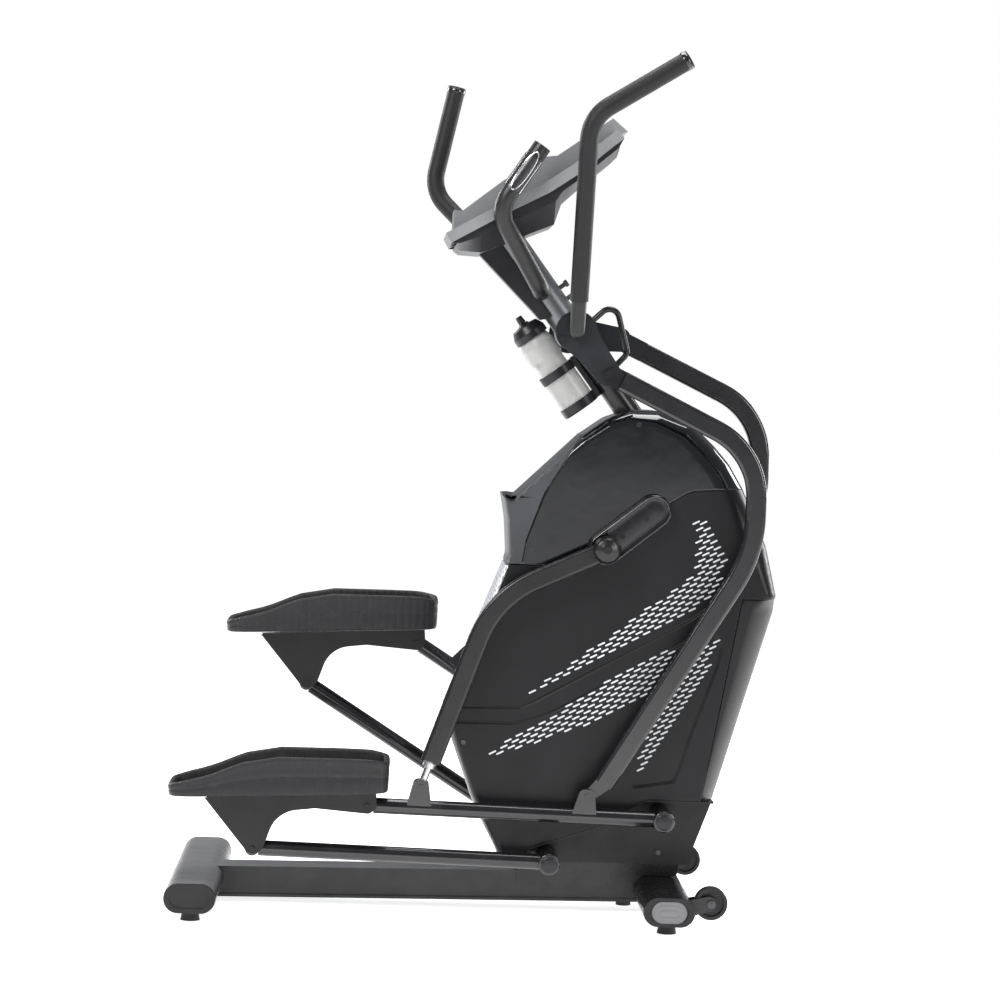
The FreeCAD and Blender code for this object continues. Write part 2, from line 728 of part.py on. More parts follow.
def console_section(y, rise, inset):
    """Side view of the lower shell at a distance from the middle: the underside rises towards
    the rim by a share, and everything draws in by a wall."""
    middle = (70, 1388)
    rim = console_points(-inset)
    under = []
    for x, z in CONSOLE_UNDER:
        lift = between((x, z), (x, rim_height(x)), rise)
        under.append(between(lift, middle, inset / math.dist(lift, middle)))
    ring = [Vec(x, y, z) for x, z in rim + under]
    section = doc.addObject("Part::Feature", "Section")
    section.Shape = Part.makePolygon(ring + ring[:1])
    return section


def rim_height(x):
    """Height of the rim line over a place along the console, a little under the rim itself."""
    for start, end in zip(CONSOLE_RIM, CONSOLE_RIM[1:]):
        if x <= end[0]:
            break
    return between(start, end, (x - start[0]) / (end[0] - start[0]))[1] - 4


def console_block(inset=0.0):
    """Form of the lower shell: full depth in the middle, drawn up towards both sides."""
    half = num("$console_half") - 8 - inset
    flat = num("$console_half") - 48
    solid = doc.addObject("Part::Loft", "Loft")
    solid.Sections = [console_section(-half, 0.7, inset), console_section(-flat, 0, inset),
                      console_section(flat, 0, inset), console_section(half, 0.7, inset)]
    solid.Solid = True
    solid.Ruled = True
    return solid


def console_lower_shell():
    """Hollow dark underside of the console."""
    wall = num("$console_wall")
    inside = console_block(wall)
    lid = prism(console_points(-wall - 0.5) + list(reversed(console_points(4))),
                "2 * ($console_half - 8 - 4 * $console_wall)")
    keep(cut(console_block(), [inside, lid, grip_bar("$bar_radius + 1")]),
         "console_lower_shell")


POD = [(-76, 1352), (-76, 1388), (-60, 1386), (18, 1448), (97, 1498), (123, 1501), (230, 1578),
       (260, 1553)]


def strip(start, end, low, high):
    """Outline of a flat strip along a line of the XZ plane, between two depths square to it."""
    across = heading(start, end) + 90
    return [polar(start, low, across), polar(end, low, across), polar(end, high, across),
            polar(start, high, across)]


def between(start, end, share):
    return (start[0] + (end[0] - start[0]) * share, start[1] + (end[1] - start[1]) * share)


def screen(grow, depth):
    """Display window let into the upper face of the pod."""
    face = POD[5], POD[6]
    ends = between(*face, 0.08), between(*face, 0.92)
    return prism(strip(*ends, -depth, 0.5), "2 * $pod_half - %s" % (36 - 2 * grow))


def key(sign, radius, low, length):
    """A round key on the lower face of the pod, or the hole that it travels in."""
    face = POD[3], POD[4]
    start = polar(between(*face, 0.5), low, heading(*face) + 90)
    out = polar((0, 0), 1, heading(*face) + 90)
    return cylinder_along(radius, str(length), (start[0], sign * 32, start[1]), (out[0], 0, out[1]))


def console_top_shell():
    """Light upper moulding: the side band, the wings and the raised pod in the middle."""
    band, wall = num("$console_band"), num("$console_wall")
    frame = prism(console_points(0.4) + list(reversed(console_points(band))), "2 * $console_half")
    pod = prism(POD + list(reversed(console_points(band - 8))), "2 * $pod_half")
    hollow = prism(console_points(-2) + list(reversed(console_points(band - wall))),
                   "2 * ($console_half - 4 * $console_wall)")
    lowered = [between(spot, (90, 1420), 2 * wall / math.dist(spot, (90, 1420))) for spot in POD]
    space = prism(lowered + list(reversed(console_points(-2))), "2 * ($pod_half - $console_wall)")
    ends = [prism([(-140, 1250), (-70, 1250), (-70, 1450), (-140, 1450)], "2 * $console_half"),
            prism([(236, 1400), (330, 1400), (330, 1700), (236, 1700)], "2 * $console_half")]
    inner = cut(fused([hollow, space]), ends)
    tools = [inner, screen(0.2, 3.4), grip_bar("$bar_radius + 1")]
    tools += [key(sign, "11 + $gap / 2", -16, 30) for sign in (-1, 1)]
    keep(cut(fused([frame, pod]), tools), "console_top_shell")
    keep(screen(0, 3), "console_display")
    for name, sign in (("start_key", -1), ("stop_key", 1)):
        keep(key(sign, "11", -5.5, 8), name)


# ---------------------------------------------------------------- bottle

def bottle_point(along, across=0.0):
    """A point from the middle of the bottle's base: up its axis, and towards the mast."""
    foot = mast_point(-132, -num("$bottle_offset"))
    turn = 90 + num("$mast_lean")
    return polar(polar(foot, along, turn), across, turn - 90)


def upright_bottle(profile):
    """A solid of revolution on the bottle's axis; the profile is (radius, height)."""
    body = doc.addObject("PartDesign::Body", "Turned")
    sketch = sketch_on(body, "XZ_Plane")
    for edge in outline_edges(profile):
        sketch.addGeometry(edge, False)
    revolution = body.newObject("PartDesign::Revolution", "Revolution")
    revolution.Profile = sketch
    axis = [item for item in body.Origin.OriginFeatures if item.Role == "Z_Axis"][0]
    revolution.ReferenceAxis = (axis, [""])
    revolution.Angle = 360
    foot = bottle_point(0)
    return stand(body, foot[0], 0, foot[1], lean(num("$mast_lean")))


def bottle_parts():
    """Squeeze bottle with a waist for the cage band, screw cap and push-pull nozzle."""
    r, tall, wall = num("$bottle_radius"), num("$bottle_length"), 1.6
    outer = [(0, 0), (r - 1, 0, 8), (r - 1, tall * 0.52, 6), (r - 5, tall * 0.56, 4),
             (r - 5, tall * 0.66, 4), (r - 1, tall * 0.72, 8), (r - 1, tall * 0.9, 10),
             (r - 6, tall), (0, tall)]
    inner = [(0, wall), (r - 1 - wall, wall, 6), (r - 1 - wall, tall * 0.52, 6),
             (r - 5 - wall, tall * 0.56, 4), (r - 5 - wall, tall * 0.66, 4),
             (r - 1 - wall, tall * 0.72, 8), (r - 1 - wall, tall * 0.9, 10),
             (r - 6 - wall, tall + 1), (0, tall + 1)]
    keep(cut(upright_bottle(outer), [upright_bottle(inner)]), "bottle")
    cap = [(5.2, tall + 0.1), (r - 1, tall + 0.1, 2), (r - 1, tall + 14, 3), (r - 9, tall + 30, 5),
           (13, tall + 32), (9, tall + 36), (5.2, tall + 36)]
    keep(upright_bottle(cap), "bottle_cap")
    spout = [(0, tall + 20), (4.8, tall + 20), (4.8, tall + 36.4), (8, tall + 36.4, 1),
             (6.5, tall + 52, 2), (0, tall + 52)]
    keep(upright_bottle(spout), "bottle_nozzle")


def bottle_cage():
    """Cup for the base, a slanted band round the waist, and the spine bolted to the mast."""
    r = num("$bottle_radius")
    clear = num("$gap")
    cup = upright_bottle([(0, -clear - 3), (r + clear + 2.5, -clear - 3, 3), (r + clear + 2.5, 16),
                          (r + clear, 16), (r + clear, -clear), (0, -clear)])
    band = upright_bottle([(r + clear, 74), (r + clear + 3, 74), (r + clear + 3, 92),
                           (r + clear, 92)])
    gap = num("$bottle_offset") - r - num("$mast_radius") - 2 * clear
    top = 132 - num("$hub_radius") - 6
    spine = [bottle_point(-2, r + clear + 1), bottle_point(top, r + clear + 1),
             bottle_point(top, r + clear + gap), bottle_point(-2, r + clear + gap)]
    back = prism(spine, "22")
    front = [bottle_point(70, -r - 30), bottle_point(96, -r - 30), bottle_point(96, -r + 16),
             bottle_point(70, -r + 16)]
    keep(cut(fused([cup, band, back]), [prism(front, "30")]), "bottle_cage")


# ---------------------------------------------------------------- shroud

# from the crank axle: x, z, and how far the side face draws in from the middle plane
SHROUD = [(-300, 25, 6), (-280, 15, 6), (-149, 143, 14), (-97, 181, 16), (-49, 199, 16),
          (7, 199, 26), (72, 176, 36), (120, 131, 40), (150, 97, 40), (179, 49, 40),
          (230, -64, 42), (253, -161, 14), (249, -195, 45), (139, -587, 30), (107, -675, 20),
          (104, -706, 12), (-282, -706, 12), (-287, -687, 12), (-323, -620, 12),
          (-343, -577, 12), (-383, -468, 12), (-402, -409, 12), (-349, -267, 12),
          (-296, -131, 12), (-285, -99, 8), (-290, -30, 8)]
JOINT = [(-440, -112), (-206, -114), (-175, -104), (41, 23), (72, 43), (166, 49), (400, 49)]
LEDGE = [(400, -573), (2, -573), (-81, -626), (-228, -676), (-240, -760)]
VISOR = [(-440, -150), (-262, -150), (-252, -68), (-216, 32), (-165, 118), (-135, 175),
         (-440, 400)]
REAR = [(-440, -115), (-283, -115), (-390, -409), (-440, -409)]
FRONT = [(182, -168), (400, -168), (400, -573), (114, -573)]


def from_crank(points):
    return [(num("$crank_x") + x, num("$crank_z") + z) for x, z in points]


def shroud_section(y, share, wall):
    """Outline of the shroud at a distance from the middle: it draws in by a share of each
    point's own amount, and by a wall."""
    ring = []
    for x, z, inset in SHROUD:
        reach = math.hypot(x, z)
        scale = 1 - (inset * share + wall) / reach
        ring.append(Vec(num("$crank_x") + x * scale, y, num("$crank_z") + z * scale))
    section = doc.addObject("Part::Feature", "Section")
    section.Shape = Part.makePolygon(ring + ring[:1])
    return section


def shroud_solid(sign, wall, start):
    """Half of the shroud's full form, from the middle to the side face."""
    flat, half = num("$shroud_flat"), num("$shroud_half") - wall
    sections = [shroud_section(sign * start, 0, wall), shroud_section(sign * flat, 0, wall),
                shroud_section(sign * (flat + half) / 2, 0.28, wall),
                shroud_section(sign * half, 1, wall)]
    solid = doc.addObject("Part::Loft", "Loft")
    solid.Sections = sections
    solid.Solid = True
    solid.Ruled = True
    return solid


def full_prism(points):
    return prism(points, "2 * $shroud_half + 20")


def shroud_shell(sign, start):
    """Half shell with the holes for the crank axle and the mast."""
    shell = cut(shroud_solid(sign, 0, start), [shroud_solid(sign, num("$shroud_wall"), 0)])
    crank = cylinder_y("$axle_radius + 4", "2 * $shroud_half + 20", num("$crank_x"), 0,
                       num("$crank_z"))
    mast = mast_tube("$mast_radius + 1.5", -260, 230)
    return cut(shell, [crank, mast])


def region(points, shrink=0.0):
    """A prism through the whole shroud; shrink opens a seam all round it."""
    shape = full_prism(from_crank(points))
    if not shrink:
        return shape
    grown = [between(spot, centre_of(points), -shrink / math.dist(spot, centre_of(points)))
             for spot in points]
    return full_prism(from_crank(grown))


def centre_of(points):
    return (sum(x for x, _ in points) / len(points), sum(z for _, z in points) / len(points))


def shroud_parts():
    """Side mouldings, glossy upper covers, visor, rear panel, front cover and base cover."""
    seam = num("$seam")
    above = [(x, z + seam / 2) for x, z in JOINT] + [(400, 420), (-440, 420)]
    below = [(x, z - seam / 2) for x, z in JOINT] + [(400, -573 + seam)] + LEDGE[1:4]
    below += [(-300, -690 - 80), (-440, -690 - 80)]
    for name, sign in (("right", -1), ("left", 1)):
        lower = common(shroud_shell(sign, seam / 2), region(below))
        low_edge = region([(x, z + seam) for x, z in LEDGE] + [(400, -760)])
        keep(cut(lower, [region(REAR, seam), region(FRONT, seam), low_edge]), "shroud_" + name)
        upper = common(shroud_shell(sign, seam / 2), region(above))
        keep(cut(upper, [region(VISOR, seam)]), "upper_cover_" + name)
    for label, shape in (("visor", VISOR), ("rear_panel", REAR), ("front_cover", FRONT)):
        whole = fused([common(shroud_shell(sign, 0), region(shape)) for sign in (-1, 1)])
        keep(common(whole, region(above)) if label == "visor" else whole, label)
    base_cover()
    screws = []
    for x, z, half in ((-240, -84, "$shroud_half"), (-36, 170, "$shroud_half"),
                       (-360, -468, "$shroud_half"), (-212, -690, "$base_half"),
                       (37, -682, "$base_half")):
        for sign in (-1, 1):
            screws.append(cylinder_y("5", "3", num("$crank_x") + x, sign * (num(half) + 1.5),
                                     num("$crank_z") + z))
    keep(group(screws + frame_bolts()), "bolts_and_screws")


def base_cover():
    """Narrow cover round the foot of the frame, with the ledge that closes the sides below."""
    wall = num("$shroud_wall")
    edge = [(x, z) for x, z in LEDGE]
    lower = [(x, z - wall) for x, z in LEDGE[:4]] + [(LEDGE[4][0] + wall, LEDGE[4][1])]
    ledge = cut(prism(from_crank(edge + list(reversed(lower))), "2 * ($shroud_half - 2)"),
                [prism(from_crank(edge + list(reversed(lower))), "$beam_width + 2 * $cheek + 4")])
    outline = [(x * 0.985, z) for x, z, _ in SHROUD]
    body = prism(from_crank(outline), "2 * $base_half")
    inner = prism(from_crank([(x * 0.985 - wall * (1 if x > 0 else -1), z) for x, z, _ in SHROUD]),
                  "2 * ($base_half - $shroud_wall)")
    skirt = cut(common(body, region(lower + [(400, -760)])), [stand(inner, 0, 0, -wall)])
    whole = fused([skirt, common(ledge, full_prism(from_crank(outline)))])
    holes = [cylinder_y("$axle_radius + 0.5", "2 * $shroud_half", num("$link_x"), 0, num("$link_z")),
             cylinder_y("$axle_radius + 0.5", "2 * $shroud_half", num("$lower_x"), 0,
                        num("$lower_z"))]
    bosses = []
    for sign in (-1, 1):
        for x, z in ((num("$link_x"), num("$link_z")), (num("$lower_x"), num("$lower_z"))):
            bosses.append(cylinder_y("$boss_radius + 2", "60", x, sign * num("$base_half + 32"), z))
    keep(cut(whole, holes + bosses), "base_cover")


# ---------------------------------------------------------------- drive

def drive_parts():
    """Crank axle, bearings, arms and covers, the drive pulley, belt and flywheel."""
    crank = (num("$crank_x"), num("$crank_z"))
    wheel = (num("$flywheel_x"), num("$flywheel_z"))
    arm_y = num("$shroud_half + $cover_gap + 9")
    keep(cylinder_y("$axle_radius", "2 * ($shroud_half + $cover_gap + 15)", crank[0], 0, crank[1]),
         "crank_axle")
    bearings = []
    arms = []
    covers = []
    for sign in (-1, 1):
        place = crank[0], sign * num("($beam_width + $cheek) / 2"), crank[1]
        ring = cylinder_y("$bearing_radius", "12", *place)
        bearings.append(cut(ring, [cylinder_y("$axle_radius + $running_fit", "20", *place)]))
        turn = num("$crank_angle") + (180 if sign < 0 else 0)
        throw = crank_throw()
        bar = stadium(throw, 19)
        arm = prism(bar, "12", sign * arm_y, crank, turn, [(0, 0, "$axle_radius")])
        seat_y = sign * (arm_y + 6 + num("$cover_depth - 15") / 2)
        pin = polar(crank, throw, turn)
        seat = cylinder_y("13", "$cover_depth - 15", pin[0], seat_y, pin[1])
        arms.append(fused([arm, seat]))
        cover_y = sign * num("$shroud_half + $cover_gap + $cover_depth / 2")
        rim = num("$cover_radius")
        outer = prism(stadium(throw, rim), "$cover_depth", cover_y, crank, turn,
                      [(throw, 0, "16")])
        inner = prism(stadium(throw, rim - num("$cover_wall")), "$cover_depth",
                      cover_y - sign * num("$cover_wall"), crank, turn)
        covers.append(cut(outer, [inner]))
    keep(group(bearings), "crank_bearings")
    keep(group(arms), "crank_arms")
    keep(group(covers), "crank_covers")
    r, half = num("$pulley_radius"), num("$pulley_width / 2")
    pulley = [(num("$axle_radius"), -half), (26, -half), (26, -3), (r - 12, -3), (r - 12, -half),
              (r, -half), (r, half), (r - 12, half), (r - 12, 3), (26, 3), (26, half),
              (num("$axle_radius"), half)]
    keep(turned(pulley, crank[0], PULLEY_Y, crank[1]), "drive_pulley")
    flywheel(wheel)
    belt(crank, wheel)
    brake(wheel)


def stadium(length, radius):
    """Outline of a bar with round ends, from the origin along +X."""
    end = radius - 0.01
    return [(-radius, -radius, end), (length + radius, -radius, end),
            (length + radius, radius, end), (-radius, radius, end)]


def flywheel(wheel):
    """Heavy rim on a web, with the small belt pulley on its hub."""
    r, half = num("$flywheel_radius"), num("$flywheel_width / 2")
    small, track = num("$wheel_pulley_radius"), num("$pulley_width / 2")
    bore = num("$axle_radius + $running_fit")
    offset = PULLEY_Y - FLYWHEEL_Y
    profile = [(bore, -half), (24, -half), (24, -4), (r - 30, -4), (r - 30, -half), (r, -half),
               (r, half), (r - 30, half), (r - 30, 4), (24, 4), (24, offset - track - 2),
               (small, offset - track - 2), (small, offset + track), (bore, offset + track)]
    keep(turned(profile, wheel[0], FLYWHEEL_Y, wheel[1]), "flywheel")


def belt(crank, wheel):
    """Ribbed belt round both pulleys: arcs about each centre and the two outside tangents."""
    clear = 0.4
    keep(cut(belt_loop(crank, wheel, clear + 2.5, "$pulley_width - 4"),
             [belt_loop(crank, wheel, clear, "$pulley_width")]), "drive_belt")


def belt_loop(crank, wheel, grow, width):
    big, small = num("$pulley_radius") + grow, num("$wheel_pulley_radius") + grow
    span = math.dist(crank, wheel)
    line = heading(crank, wheel)
    splay = math.degrees(math.acos((big - small) / span))
    ends = [polar(crank, big, line + splay), polar(wheel, small, line + splay),
            polar(wheel, small, line - splay), polar(crank, big, line - splay)]
    corners = [Vec(x, 0, z) for x, z in ends]
    tip = polar(wheel, small, line)
    back = polar(crank, big, line + 180)
    wire = Part.Wire([Part.LineSegment(corners[0], corners[1]).toShape(),
                      Part.Arc(corners[1], Vec(tip[0], 0, tip[1]), corners[2]).toShape(),
                      Part.LineSegment(corners[2], corners[3]).toShape(),
                      Part.Arc(corners[3], Vec(back[0], 0, back[1]), corners[0]).toShape()])
    outline = doc.addObject("Part::Feature", "Outline")
    outline.Shape = wire
    outline.Placement = FreeCAD.Placement(Vec(0, PULLEY_Y, 0), FreeCAD.Rotation())
    solid = doc.addObject("Part::Extrusion", "Extrusion")
    solid.Base = outline
    solid.DirMode = "Custom"
    solid.Dir = Vec(0, 1, 0)
    bind(solid, "LengthFwd", width)
    solid.Symmetric = True
    solid.Solid = True
    return solid


def brake_pivot():
    x, z = polar((num("$flywheel_x"), num("$flywheel_z")), num("$flywheel_radius") + 26, 112)
    return x, 0, z


def brake(wheel):
    """Swinging magnet shoe over the rim of the flywheel."""
    r = num("$flywheel_radius")
    low, high = r + 4, r + 14
    start, end = 122, 168
    steps = 6
    inner = [polar(wheel, low, start + (end - start) * n / steps) for n in range(steps + 1)]
    outer = [polar(wheel, high, end - (end - start) * n / steps) for n in range(steps + 1)]
    shoe = prism(inner + outer, "$flywheel_width", FLYWHEEL_Y)
    pivot = brake_pivot()
    reach = polar(wheel, r + 9, 134)
    arm = prism(strip((pivot[0], pivot[2]), reach, -6, 6), "8", FLYWHEEL_Y)
    boss = cylinder_y("11", "$flywheel_width", pivot[0], FLYWHEEL_Y, pivot[2])
    hole = cylinder_y("5 + $running_fit", "$flywheel_width + 4", pivot[0], FLYWHEEL_Y, pivot[2])
    keep(cut(fused([shoe, arm, boss]), [hole]), "brake_magnets")


# ---------------------------------------------------------------- links, pedals and rods

def pivot_boss(side, axle):
    """Blind boss at the front of a link, closed outside by its cap."""
    start, end = num(BOSS_START), num(BOSS_END)
    r = num("$boss_radius")
    bore = num("$axle_radius + $running_fit")
    profile = [(0, end - 7), (bore, end - 7), (bore, start), (r, start), (r, end, 3), (6, end),
               (6, end - 2), (0, end - 2)]
    return turned(profile, axle[0], 0, axle[1], side.sign)


def link_tube(side, start, end):
    """Tube between two pivots, stopping short of both."""
    turn = heading(start, end)
    y = side.at(ROD_Y)
    first = polar(start, num("$boss_radius - 4"), turn)
    out = polar((0, 0), 1, turn)
    length = math.dist(start, end) - num("$boss_radius - 4") - 12
    outer = cylinder_along("$link_radius", str(length), (first[0], y, first[1]), (out[0], 0, out[1]))
    inner = cylinder_along("$link_radius - $link_wall", str(length + 2), (first[0], y, first[1]),
                           (out[0], 0, out[1]))
    return cut(outer, [inner])


def cross_sleeve(side, spot):
    """Short sleeve across the end of a link for the pedal pin."""
    place = spot[0], side.at(ROD_Y), spot[1]
    return cylinder_y("$link_radius - 1.5", "$bracket_inside - 2 * $gap", *place)


def pin_bore(side, spot):
    return cylinder_y("$pin_radius + $running_fit", "80", spot[0], side.at(ROD_Y), spot[1])


def upper_link(side):
    """Upper link: boss, tube, pedal sleeve and the two brackets that the rods stand on."""
    y = side.at(ROD_Y)
    lugs = []
    for foot, reach in ((side.rod_foot, "$rod_reach"), (side.arm_foot, "$arm_reach")):
        base = polar(side.link_axle, math.dist(side.link_axle, foot), side.turn)
        for inner in (-1, 1):
            offset = inner * num("$rod_thickness / 2 + $gap + 2")
            crown = polar(foot, 14, side.turn - 90)
            lug = [polar(base, -25, side.turn) + (2,), polar(base, 25, side.turn) + (2,),
                   polar(crown, 14, side.turn) + (12,), polar(crown, -14, side.turn) + (12,)]
            lugs.append(prism(lug, "4", y + offset))
        lugs.append(cylinder_y("$pin_radius", "$rod_thickness + 2 * $gap + 14", foot[0], y, foot[1]))
    tube = link_tube(side, side.link_axle, side.pedal)
    whole = fused([pivot_boss(side, side.link_axle), tube, cross_sleeve(side, side.pedal)] + lugs)
    bore = cylinder_y("$axle_radius + $running_fit", "2 * (%s - 7)" % BOSS_END,
                      side.link_axle[0], 0, side.link_axle[1])
    keep(cut(whole, [pin_bore(side, side.pedal), bore]), side.name + "_upper_link")


def lower_link(side):
    tube = link_tube(side, side.lower_axle, side.toe)
    whole = fused([pivot_boss(side, side.lower_axle), tube, cross_sleeve(side, side.toe)])
    bore = cylinder_y("$axle_radius + $running_fit", "2 * (%s - 7)" % BOSS_END,
                      side.lower_axle[0], 0, side.lower_axle[1])
    keep(cut(whole, [pin_bore(side, side.toe), bore]), side.name + "_lower_link")


def pedal_bracket(side):
    """Folded sheet under the pedal: two cheeks cut to an arc, a top plate and both pins."""
    y = side.at(ROD_Y)
    front, rear = side.pedal, side.toe
    drop = (rear[0] - front[0], rear[1] - front[1])
    top_rear, top_front = num("$pedal_floor") - 32, num("$pedal_floor") - 10
    outline = [(drop[0] - 96, top_rear), (drop[0] - 18, drop[1] + 4, 3), (drop[0], drop[1] - 21, 20),
               (drop[0] + 22, drop[1] + 4, 10), (drop[0] + 46, -16, 60), (drop[0] + 120, -7, 30),
               (4, -15, 14), (19, -4, 10), (16, top_front)]
    parts = []
    for inner in (-1, 1):
        offset = inner * num("($bracket_inside + $bracket_sheet) / 2")
        parts.append(prism(outline, "$bracket_sheet", y + offset, front))
    rise = strip((drop[0] - 92, top_rear), (16, top_front), -num("$bracket_sheet"), 0)
    parts.append(prism(rise, "$bracket_inside + 2 * $bracket_sheet", y, front))
    for spot in (front, rear):
        parts.append(cylinder_y("$pin_radius", "$bracket_inside + 2 * $bracket_sheet + 8",
                                spot[0], y, spot[1]))
    keep(fused(parts), side.name + "_pedal_bracket")


def tray_profile(side, shrink, raise_floor):
    """Side view of the tray: level rim at the toe, a long ramp down to a thin tail."""
    front, rear = num("$pedal_front") - shrink, -num("$pedal_rear") + shrink
    top, floor = num("$pedal_top"), num("$pedal_floor") - 8 + raise_floor
    tail = 14 + raise_floor
    lift = 40 * (1 if raise_floor else 0)
    return [(rear, tail), (rear + 6, 40 + lift, 0), (rear + 75, 52 + lift, 0),
            (rear + 140, top - 15 + lift), (rear + 215, top + lift), (front - 14, top + lift, 0),
            (front, top - 20 + lift, 0), (front - 5, floor + 8, 6), (front - 22, floor)]


def tray_plan(shrink):
    """Plan of the tray: round toe, narrower tail."""
    front, rear = num("$pedal_front") - shrink, -num("$pedal_rear") + shrink
    half = num("$pedal_width / 2") - shrink
    return [(front, -half, 52 - shrink), (front, half, 52 - shrink), (rear + 110, half, 60),
            (rear, half - 24, 34 - shrink), (rear, 24 - half, 34 - shrink),
            (rear + 110, -half, 60)]


def pedal_tray(side):
    """Moulded foot tray with a raised rim; the floor follows the bracket."""
    y, wall = side.at("$pedal_y"), num("$pedal_wall")
    place = side.pedal
    tall = "$pedal_top + 90"
    sides = prism(tray_profile(side, 0, 0), "$pedal_width + 10", y, place)
    plan = level_plate(tray_plan(0), tall, place[1] - 20, (place[0], y))
    inner_sides = prism(tray_profile(side, wall, wall), "$pedal_width + 10", y, place)
    inner_plan = level_plate(tray_plan(wall), tall, place[1] - 20, (place[0], y))
    keep(cut(common(sides, plan), [common(inner_sides, inner_plan)]), side.name + "_pedal_tray")


def rod_route(side):
    """Connecting rod from foot to head: a long straight, one easy bend, a shorter straight."""
    foot, head = side.rod_foot, side.rod_head
    line = heading(foot, head)
    bend = polar(polar(foot, 379, line), 115, line + 90)
    return foot, bend, head


def con_rod(side):
    """Bent rod from the crank pin down to the link, with the pin head and its domed cap."""
    foot, bend, head = rod_route(side)
    y = side.at(ROD_Y)
    first = polar(foot, 52, heading(foot, bend))
    last = polar(head, 10, heading(head, bend))
    tube = flat_tube([first, bend, last], [205], y)
    plug = prism(strip(polar(first, 0, 0), polar(first, 8, heading(foot, bend)),
                       -num("$rod_width / 2 - $rod_wall"), num("$rod_width / 2 - $rod_wall")),
                 "$rod_thickness - 2 * $rod_wall", y)
    bore = rod_shank(side, "7.4 + $running_fit", 10, 90)
    start = num("$shroud_half + $cover_gap + $cover_depth + $gap + 0.4")
    end = num(ROD_Y + " + $rod_thickness / 2")
    dome = 28
    eye = [(0, start), (15, start), (15, start + 5), (24, start + 5), (24, end), (dome, end),
           (dome, end + 5, 3), (dome * 0.8, end + 17, 8), (dome * 0.3, end + 22, 8), (0, end + 22)]
    head_piece = turned(eye, head[0], 0, head[1], side.sign)
    keep(fused([cut(tube, [head_piece_core(head, y)]), cut(plug, [bore]), head_piece]),
         side.name + "_con_rod")


def head_piece_core(head, y):
    return cylinder_y("23", "$rod_thickness + 2", head[0], y, head[1])


def rod_shank(side, radius, start, length):
    foot, bend, _ = rod_route(side)
    turn = heading(foot, bend)
    place = polar(foot, start, turn)
    out = polar((0, 0), 1, turn)
    return cylinder_along(radius, str(length), (place[0], side.at(ROD_Y), place[1]),
                          (out[0], 0, out[1]))


def rod_end(side):
    """Plated rod end: eye, threaded shank and lock nut."""
    foot = side.rod_foot
    y = side.at(ROD_Y)
    eye = cylinder_y("15", "$rod_thickness - 4", foot[0], y, foot[1])
    shank = rod_shank(side, "7.4", 10, 76)
    nut = rod_shank(side, "13", 40, 10)
    keep(cut(fused([eye, shank, nut]), [pin_bore(side, foot)]), side.name + "_rod_end")


def arm_rod(side):
    """C-shaped rod from the link up to the handle lever, bowed forward round the shroud."""
    foot, head = side.arm_foot, side.arm_head
    line = heading(foot, head)
    y = side.at(ROD_Y)
    lower = polar(polar(foot, 491, line), 303, line - 90)
    upper = polar(polar(foot, 690, line), 300, line - 90)
    first = polar(polar(foot, 24, line), 31, line - 90)
    last = polar(head, 30, heading(head, upper))
    tube = flat_tube([first, lower, upper, last], [265, 145], y)
    start = polar(first, 6, heading(first, lower))
    foot_web = [polar(foot, 14, line + 100) + (6,), polar(foot, 17, line - 100) + (6,),
                polar(start, 17, heading(first, lower) - 90),
                polar(start, 17, heading(first, lower) + 90)]
    web = prism(foot_web, "$rod_thickness - 1.5 * $rod_wall", y)
    eye = cylinder_y("15", "$rod_thickness", foot[0], y, foot[1])
    ear_y = side.at(ROD_Y + " - $rod_thickness / 2 - 2")
    run = heading(head, upper)
    tip = polar(last, 26, run)
    ear = prism([polar(head, 19, run + 180) + (16,), polar(polar(head, 8, run), 20, run + 90) + (8,),
                 polar(tip, 20, run + 90), polar(tip, 20, run - 90),
                 polar(polar(head, 8, run), 20, run - 90) + (8,)], "6", ear_y)
    fill = prism(strip(polar(last, 1, run), polar(last, 5, run), -17, 17),
                 "$rod_thickness - 1.5 * $rod_wall", y)
    bolt = cylinder_y("9", "7", head[0], side.at(ROD_Y + " - $rod_thickness / 2 + 3"), head[1])
    keep(cut(fused([tube, web, eye, ear, fill, bolt]), [pin_bore(side, foot)]),
         side.name + "_arm_rod")


def handle_lever(side):
    """Flange and lever plate that turn on the handle axle, with three socket screws."""
    y = side.at(LEVER_Y)
    hub = side.handle
    turn = side.lever_turn
    length = num("$lever_length")
    plate = prism([(-6, -38), (0, -40), (length * 0.45, -30, 20), (length + 22, -23, 21),
                   (length + 22, 23, 21), (length * 0.45, 30, 20), (0, 40), (-6, 38)],
                  "$lever_plate", y, hub, turn)
    flange = cylinder_y("41", "$lever_plate", hub[0], y, hub[1])
    inner = num("$hub_half + $gap")
    sleeve_length = num(LEVER_Y) - num("$lever_plate / 2") - inner
    sleeve = cylinder_y("30", str(sleeve_length + 0.2), hub[0],
                        side.sign * (inner + sleeve_length / 2), hub[1])
    screws = []
    for turn_by in (100, 180, 260):
        spot = polar(hub, 31, turn + turn_by)
        screws.append(cylinder_y("6", "5", spot[0],
                                 side.at("%s + $lever_plate / 2 + 2.4" % LEVER_Y), spot[1]))
    bore = cylinder_y("$axle_radius + $running_fit", "2 * (%s) + 60" % LEVER_Y, hub[0], 0, hub[1])
    keep(cut(fused([plate, flange, sleeve] + screws), [bore]), side.name + "_handle_lever")


